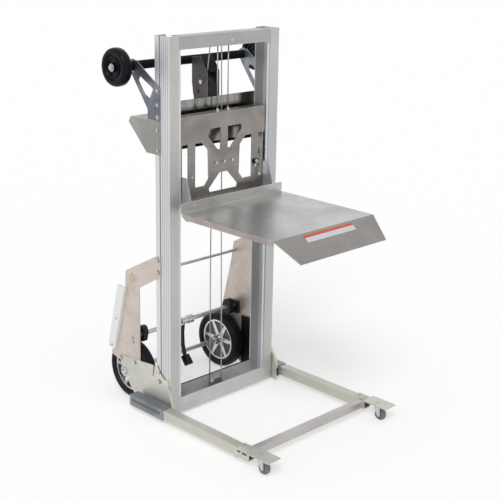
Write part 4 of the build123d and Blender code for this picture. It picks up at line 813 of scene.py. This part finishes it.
# Brake shoes, brake bearings and winch cover: steel with a matt black powder coat, which has a fine
# grain, a little dust on what faces up and paler rubbed edges. Bolted to the frame or the rod.
def moulded_finish_group(edges):
    """Rubber, plastic or paint: a fine grain, dust on upward faces, paler rubbed edges."""
    inputs = [
        ("Base", COLOUR), ("Dust", COLOUR), ("Rubbed", COLOUR), ("Dust Amount", FLOAT),
        ("Rub Amount", FLOAT), ("Rub Width", FLOAT), ("Grain Scale", FLOAT), ("Grain Depth", FLOAT),
        ("Roughness", FLOAT), ("Spread", FLOAT),
    ]
    made, start, end = group("moulded_finish", inputs, FINISH_OUTPUTS)
    place = node(made, "ShaderNodeTexCoord")
    grain = node(made, "ShaderNodeTexNoise", {"Detail": 3.0, "Roughness": 0.6})
    cloud = node(made, "ShaderNodeTexNoise", {"Scale": 14.0, "Detail": 5.0, "Roughness": 0.6})
    facing = node(made, "ShaderNodeNewGeometry")
    split = node(made, "ShaderNodeSeparateXYZ")
    upward = node(made, "ShaderNodeMapRange", {"From Min": 0.1, "From Max": 1.0, "To Min": 0.15})
    settle = node(made, "ShaderNodeMath", operation="MULTIPLY")
    dust = node(made, "ShaderNodeMath", operation="MULTIPLY", use_clamp=True)
    dusty = node(made, "ShaderNodeMix", data_type="RGBA")
    worn = node(made, "ShaderNodeGroup", node_tree=edges)
    worn.inputs["Breakup"].default_value = 0.8
    rub = node(made, "ShaderNodeMath", operation="MULTIPLY", use_clamp=True)
    rubbed = node(made, "ShaderNodeMix", data_type="RGBA")
    centred = node(made, "ShaderNodeMath", {1: 0.5}, operation="SUBTRACT")
    swing = node(made, "ShaderNodeMath", operation="MULTIPLY")
    rough = node(made, "ShaderNodeMath", operation="ADD", use_clamp=True)
    bump = node(made, "ShaderNodeBump", {"Distance": 0.0004})
    wire(
        made,
        (place.outputs["Object"], grain.inputs["Vector"]),
        (start.outputs["Grain Scale"], grain.inputs["Scale"]),
        (place.outputs["Object"], cloud.inputs["Vector"]),
        (facing.outputs["Normal"], split.inputs[0]),
        (split.outputs["Z"], upward.inputs["Value"]),
        (upward.outputs[0], settle.inputs[0]),
        (cloud.outputs[0], settle.inputs[1]),
        (settle.outputs[0], dust.inputs[0]),
        (start.outputs["Dust Amount"], dust.inputs[1]),
        (dust.outputs[0], dusty.inputs[0]),
        (start.outputs["Base"], dusty.inputs[6]),
        (start.outputs["Dust"], dusty.inputs[7]),
        (start.outputs["Rub Width"], worn.inputs["Width"]),
        (worn.outputs["Mask"], rub.inputs[0]),
        (start.outputs["Rub Amount"], rub.inputs[1]),
        (rub.outputs[0], rubbed.inputs[0]),
        (dusty.outputs[2], rubbed.inputs[6]),
        (start.outputs["Rubbed"], rubbed.inputs[7]),
        (rubbed.outputs[2], end.inputs["Color"]),
        (cloud.outputs[0], centred.inputs[0]),
        (centred.outputs[0], swing.inputs[0]),
        (start.outputs["Spread"], swing.inputs[1]),
        (swing.outputs[0], rough.inputs[0]),
        (start.outputs["Roughness"], rough.inputs[1]),
        (rough.outputs[0], end.inputs["Roughness"]),
        (start.outputs["Grain Depth"], bump.inputs["Strength"]),
        (grain.outputs[0], bump.inputs["Height"]),
        (worn.outputs["Normal"], bump.inputs["Normal"]),
        (bump.outputs[0], end.inputs["Normal"]),
    )
    return made


moulded_finish = moulded_finish_group(edge_wear)


def moulded(name, base, dust, rubbed, **changes):
    """A rubber, plastic or painted material from its three colours."""
    values = {
        "Base": rgba(*base), "Dust": rgba(*dust), "Rubbed": rgba(*rubbed), "Dust Amount": 0.5,
        "Rub Amount": 0.5, "Rub Width": 0.0012, "Grain Scale": 900.0, "Grain Depth": 0.25,
        "Roughness": 0.55, "Spread": 0.2,
    }
    shader_values = {"Specular IOR Level": changes.pop("Shine", 0.5)}
    values.update({key.replace("_", " "): value for key, value in changes.items()})
    return finished(name, moulded_finish, values, **shader_values)


black_paint = moulded(
    "black_coat", (0.007, 0.007, 0.008), (0.03, 0.03, 0.03), (0.12, 0.12, 0.12), Roughness=0.34, Shine=0.25
)
for name in ("brake_shoes", "brake_bearings", "winch_cover"):
    eased(name, 0.0010, black_paint)


# Winch frame and brake pedal: the frame is folded from dark coated plate with a black web over the
# drum, and the pedal is a black lever welded to a bright collar on the brake rod.
WEB_LOW = 1.39


def winch_part(centre, normal):
    """0 the two cheeks and the floor, 1 the sloping web over the drum."""
    return 1 if centre.z > WEB_LOW and abs(normal.x) < 0.3 and normal.y < -0.3 else 0


eased("winch_frame", 0.0008, [gunmetal, black_paint], winch_part)


ROD_Y, ROD_Z = 0.348, 0.300
COLLAR_RADIUS = 0.0196


def pedal_part(centre, normal):
    """0 the bright collar round the rod, 1 the black lever and its tread."""
    from_rod = Vector((centre.y - ROD_Y, centre.z - ROD_Z)).length
    return 0 if from_rod < COLLAR_RADIUS else 1


eased("brake_pedal", 0.0010, [chrome, black_paint], pedal_part)

# A narrow black strip along the rear top edge of the bottom channel, between the uprights.
slab(
    "channel_black_strip", (-0.2425, 0.1985, 0.0885), (0.2425, 0.2035, 0.0915), black_paint, "frame",
)

# Foam grips: three sleeves of soft closed-cell foam with a fine open grain, pushed over the
# handlebar between and beside its brackets.
foam = moulded(
    "foam", (0.0055, 0.0055, 0.008), (0.014, 0.014, 0.018), (0.012, 0.012, 0.015),
    Grain_Scale=1400.0, Grain_Depth=0.8, Roughness=0.75, Shine=0.10, Dust_Amount=0.3,
)
eased("foam_grips", 0.0020, foam)

# Rear tyres: solid black rubber, 10 inches across, moulded with a raised bead on each side and
# narrow grooves round the tread, and stretched over the hubs.
tyre_rubber = moulded(
    "tyre_rubber", (0.006, 0.006, 0.0065), (0.030, 0.030, 0.029), (0.020, 0.020, 0.020),
    Roughness=0.42, Grain_Scale=600.0, Grain_Depth=0.15, Shine=0.16, Dust_Amount=0.3,
)
TYRE_SIDE = [
    (0.020, 0.0931), (0.022, 0.0965), (0.0272, 0.0995), (0.0288, 0.1045), (0.0288, 0.1085),
    (0.0276, 0.1095), (0.0276, 0.1110), (0.0286, 0.1120), (0.0276, 0.1175), (0.0240, 0.1228),
    (0.0185, 0.1258), (0.0130, 0.12675), (0.0124, 0.1256), (0.0108, 0.1256), (0.0102, 0.1270),
    (0.0030, 0.1270), (0.0024, 0.1257), (0.0006, 0.1257),
]
REAR_WHEEL_X, REAR_WHEEL_Y, REAR_WHEEL_Z = 0.256, 0.405, 0.127
for side, sign in SIDES:
    centre = (sign * REAR_WHEEL_X, REAR_WHEEL_Y, REAR_WHEEL_Z)
    tyre, node_name = turned(both_sides(TYRE_SIDE), centre, steps=128), "rear_tyre_" + side
    piece_from(node_name + "_moulded", tyre, tyre_rubber, "rear_wheel_" + side, [node_name])

# Hub webs: between the spokes a thin dark pressed disc closes the hub, and a black seal lies round
# the axle on both sides of it. Both turn with the wheel.
WEB = [(-0.003, 0.0215), (-0.003, 0.0862), (0.003, 0.0862), (0.003, 0.0215)]
SEAL = [(0.0299, 0.0156), (0.0306, 0.0160), (0.0306, 0.0212), (0.0299, 0.0216)]
for side, sign in SIDES:
    centre = (sign * REAR_WHEEL_X, REAR_WHEEL_Y, REAR_WHEEL_Z)
    seals = [turned(pointed(face, SEAL), centre, steps=48) for face in (-1, 1)]
    whole = joined(turned(WEB, centre, steps=72), *seals)
    piece_from("hub_web_" + side, whole, gunmetal, "rear_wheel_" + side)

# A black plate with rounded edges, in the tyres' rubber material, inside the right bracket in front of the
# tyre; there is none on the left.
slab(
    "right_bracket_black_plate", (0.2880, 0.2420, 0.0350), (0.2930, 0.3050, 0.2600), tyre_rubber, "frame",
    0.002,
)

# Top wheels: moulded black rubber on a plastic centre, with a raised ring on each side, held on the
# bar's ends by a bolt with a broad bright washer. A yellow screw sits on each handle bracket.
wheel_rubber = moulded(
    "wheel_rubber", (0.003, 0.003, 0.006), (0.010, 0.010, 0.014), (0.020, 0.020, 0.024),
    Roughness=0.24, Grain_Scale=500.0, Grain_Depth=0.08, Dust_Amount=0.15, Shine=0.14,
)
TOP_WHEEL_SIDE = [
    (0.0250, 0.0066), (0.0250, 0.0165), (0.0235, 0.0185), (0.0140, 0.0200), (0.0130, 0.0220),
    (0.0130, 0.0310), (0.0150, 0.0325), (0.0180, 0.0335), (0.0190, 0.0355), (0.0180, 0.0375),
    (0.0150, 0.0385), (0.0130, 0.0400), (0.0130, 0.0470), (0.0160, 0.0495), (0.0205, 0.0515),
    (0.0225, 0.0560), (0.0225, 0.0630), (0.0200, 0.0690), (0.0150, 0.0730), (0.0080, 0.0748),
    (0.0010, 0.0750),
]
SCREW = [(0.0, 0.0), (0.0, 0.0055), (0.0035, 0.0055), (0.0050, 0.0042), (0.0050, 0.0)]
WASHER = [(0.0, 0.0062), (0.0, 0.0140), (0.0010, 0.0150), (0.0018, 0.0140), (0.0018, 0.0062)]
BAR_Y, BAR_Z = 0.331, 1.432
TOP_WHEEL_X = 0.378
BOLT_WASHER_X = 0.4032
SCREW_PLACE = (0.300, 0.3255, 1.4105)
for side, sign in SIDES:
    wheel = turned(both_sides(TOP_WHEEL_SIDE), (sign * TOP_WHEEL_X, BAR_Y, BAR_Z), steps=96)
    node_name = "top_wheel_" + side
    piece_from(node_name + "_moulded", wheel, wheel_rubber, "roll_wheel_" + side, [node_name])
    screw_x, screw_y, screw_z = SCREW_PLACE
    screw = turned(pointed(sign, SCREW), (sign * screw_x, screw_y, screw_z), steps=24)
    piece_from("boss_screw_" + side, screw, passivated, "frame")
    washer = turned(pointed(sign, WASHER), (sign * BOLT_WASHER_X, BAR_Y, BAR_Z), steps=48)
    piece_from(node_name + "_washer", washer, zinc, "frame")

# Stop bumper and slide strips: a moulded rubber block bolted to the carriage, and white strips of
# hard, slippery plastic bolted to the wheel brackets, on which the lifter slides up an edge.
eased("stop_bumpers", 0.0015, tyre_rubber)
slide = moulded(
    "white_slide", (0.84, 0.85, 0.84), (0.70, 0.70, 0.68), (0.90, 0.90, 0.90), Roughness=0.42
)
eased("skid_strips", 0.0015, slide)

# Carriage rollers: dark nylon, turned, one pair above and one below, which run inside the
# uprights on their steel axles.
nylon = moulded("roller_nylon", (0.05, 0.05, 0.05), (0.16, 0.16, 0.15), (0.14, 0.14, 0.14), Roughness=0.40)
for name in ("upper_rollers", "lower_rollers"):
    eased(name, 0.0008, nylon)

# Caster wheels: grey plastic, 2 inches across, moulded in one with a hollow round the boss, and a
# chromed cap on each side that keeps threads out of the axle.
tread = moulded(
    "grey_tread", (0.17, 0.17, 0.178), (0.28, 0.28, 0.28), (0.30, 0.30, 0.30),
    Roughness=0.45, Grain_Scale=900.0, Grain_Depth=0.15,
)
CASTER_SIDE = [
    (0.0070, 0.0045), (0.0070, 0.0105), (0.0060, 0.0120), (0.0060, 0.0150), (0.0092, 0.0165),
    (0.0100, 0.0195), (0.0092, 0.0232), (0.0066, 0.0250), (0.0020, 0.0255),
]
CASTER_CAP = [(0.0072, 0.0046), (0.0072, 0.0085), (0.0094, 0.0076), (0.0094, 0.0046)]
for side, _ in SIDES:
    node_name = "caster_wheel_" + side
    low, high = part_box(node_name)
    centre = (low + high) / 2
    wheel = turned(both_sides(CASTER_SIDE), centre, steps=64)
    body = body_with(node_name)
    piece_from(node_name + "_moulded", wheel, tread, body, [node_name])
    caps = joined(*[turned(pointed(face, CASTER_CAP), centre, steps=32) for face in (1, -1)])
    piece_from("caster_cap_" + side, caps, chrome, body)

# Strip on the flap: two bare bands of thin coloured film with rounded corners, one red and one
# pale, glued across the sloping flap just below its fold.
FLAP_FOLD = Vector((0.0, -0.430, 0.886))
FLAP_DOWN = Vector((0.0, -0.102, -0.072)).normalized()
FLAP_OUT = Vector((0.0, -0.072, 0.102)).normalized()
STRIP_LENGTH = 0.272
STRIP_THICK = 0.0005
STRIP_CORNER = 0.0015
STRIP_RAISED = 0.0004
STRIP_OFF_MIDDLE = 0.002


def flap_strip(name, from_fold, to_fold, colour):
    """A thin plate on the flap, between two distances from its fold."""
    mesh = bmesh.new()
    bmesh.ops.create_cube(mesh, size=1.0)
    bmesh.ops.scale(mesh, vec=(STRIP_LENGTH, to_fold - from_fold, STRIP_THICK), verts=mesh.verts)
    corners = [edge for edge in mesh.edges if abs(edge.verts[0].co.z - edge.verts[1].co.z) > 1e-5]
    break_edges(mesh, corners, STRIP_CORNER, segments=3)
    across = Vector((1.0, 0.0, 0.0))
    down = FLAP_DOWN * ((from_fold + to_fold) / 2)
    centre = FLAP_FOLD + down + FLAP_OUT * STRIP_RAISED + across * STRIP_OFF_MIDDLE
    turn = Matrix((across, -FLAP_DOWN, FLAP_OUT)).transposed().to_4x4()
    bmesh.ops.transform(mesh, matrix=Matrix.Translation(centre) @ turn, verts=mesh.verts)
    dusty = tuple(0.8 * part for part in colour)
    rubbed = tuple(min(1.0, 1.2 * part) for part in colour)
    film = moulded(
        name + "_film", colour, dusty, rubbed, Roughness=0.35, Grain_Scale=300.0, Grain_Depth=0.05,
        Dust_Amount=0.4,
    )
    piece_from(name, mesh, film, "carriage")


flap_strip("flap_strip_red", 0.0115, 0.0220, (0.72, 0.075, 0.025))
flap_strip("flap_strip_pale", 0.0222, 0.0450, (0.70, 0.69, 0.76))
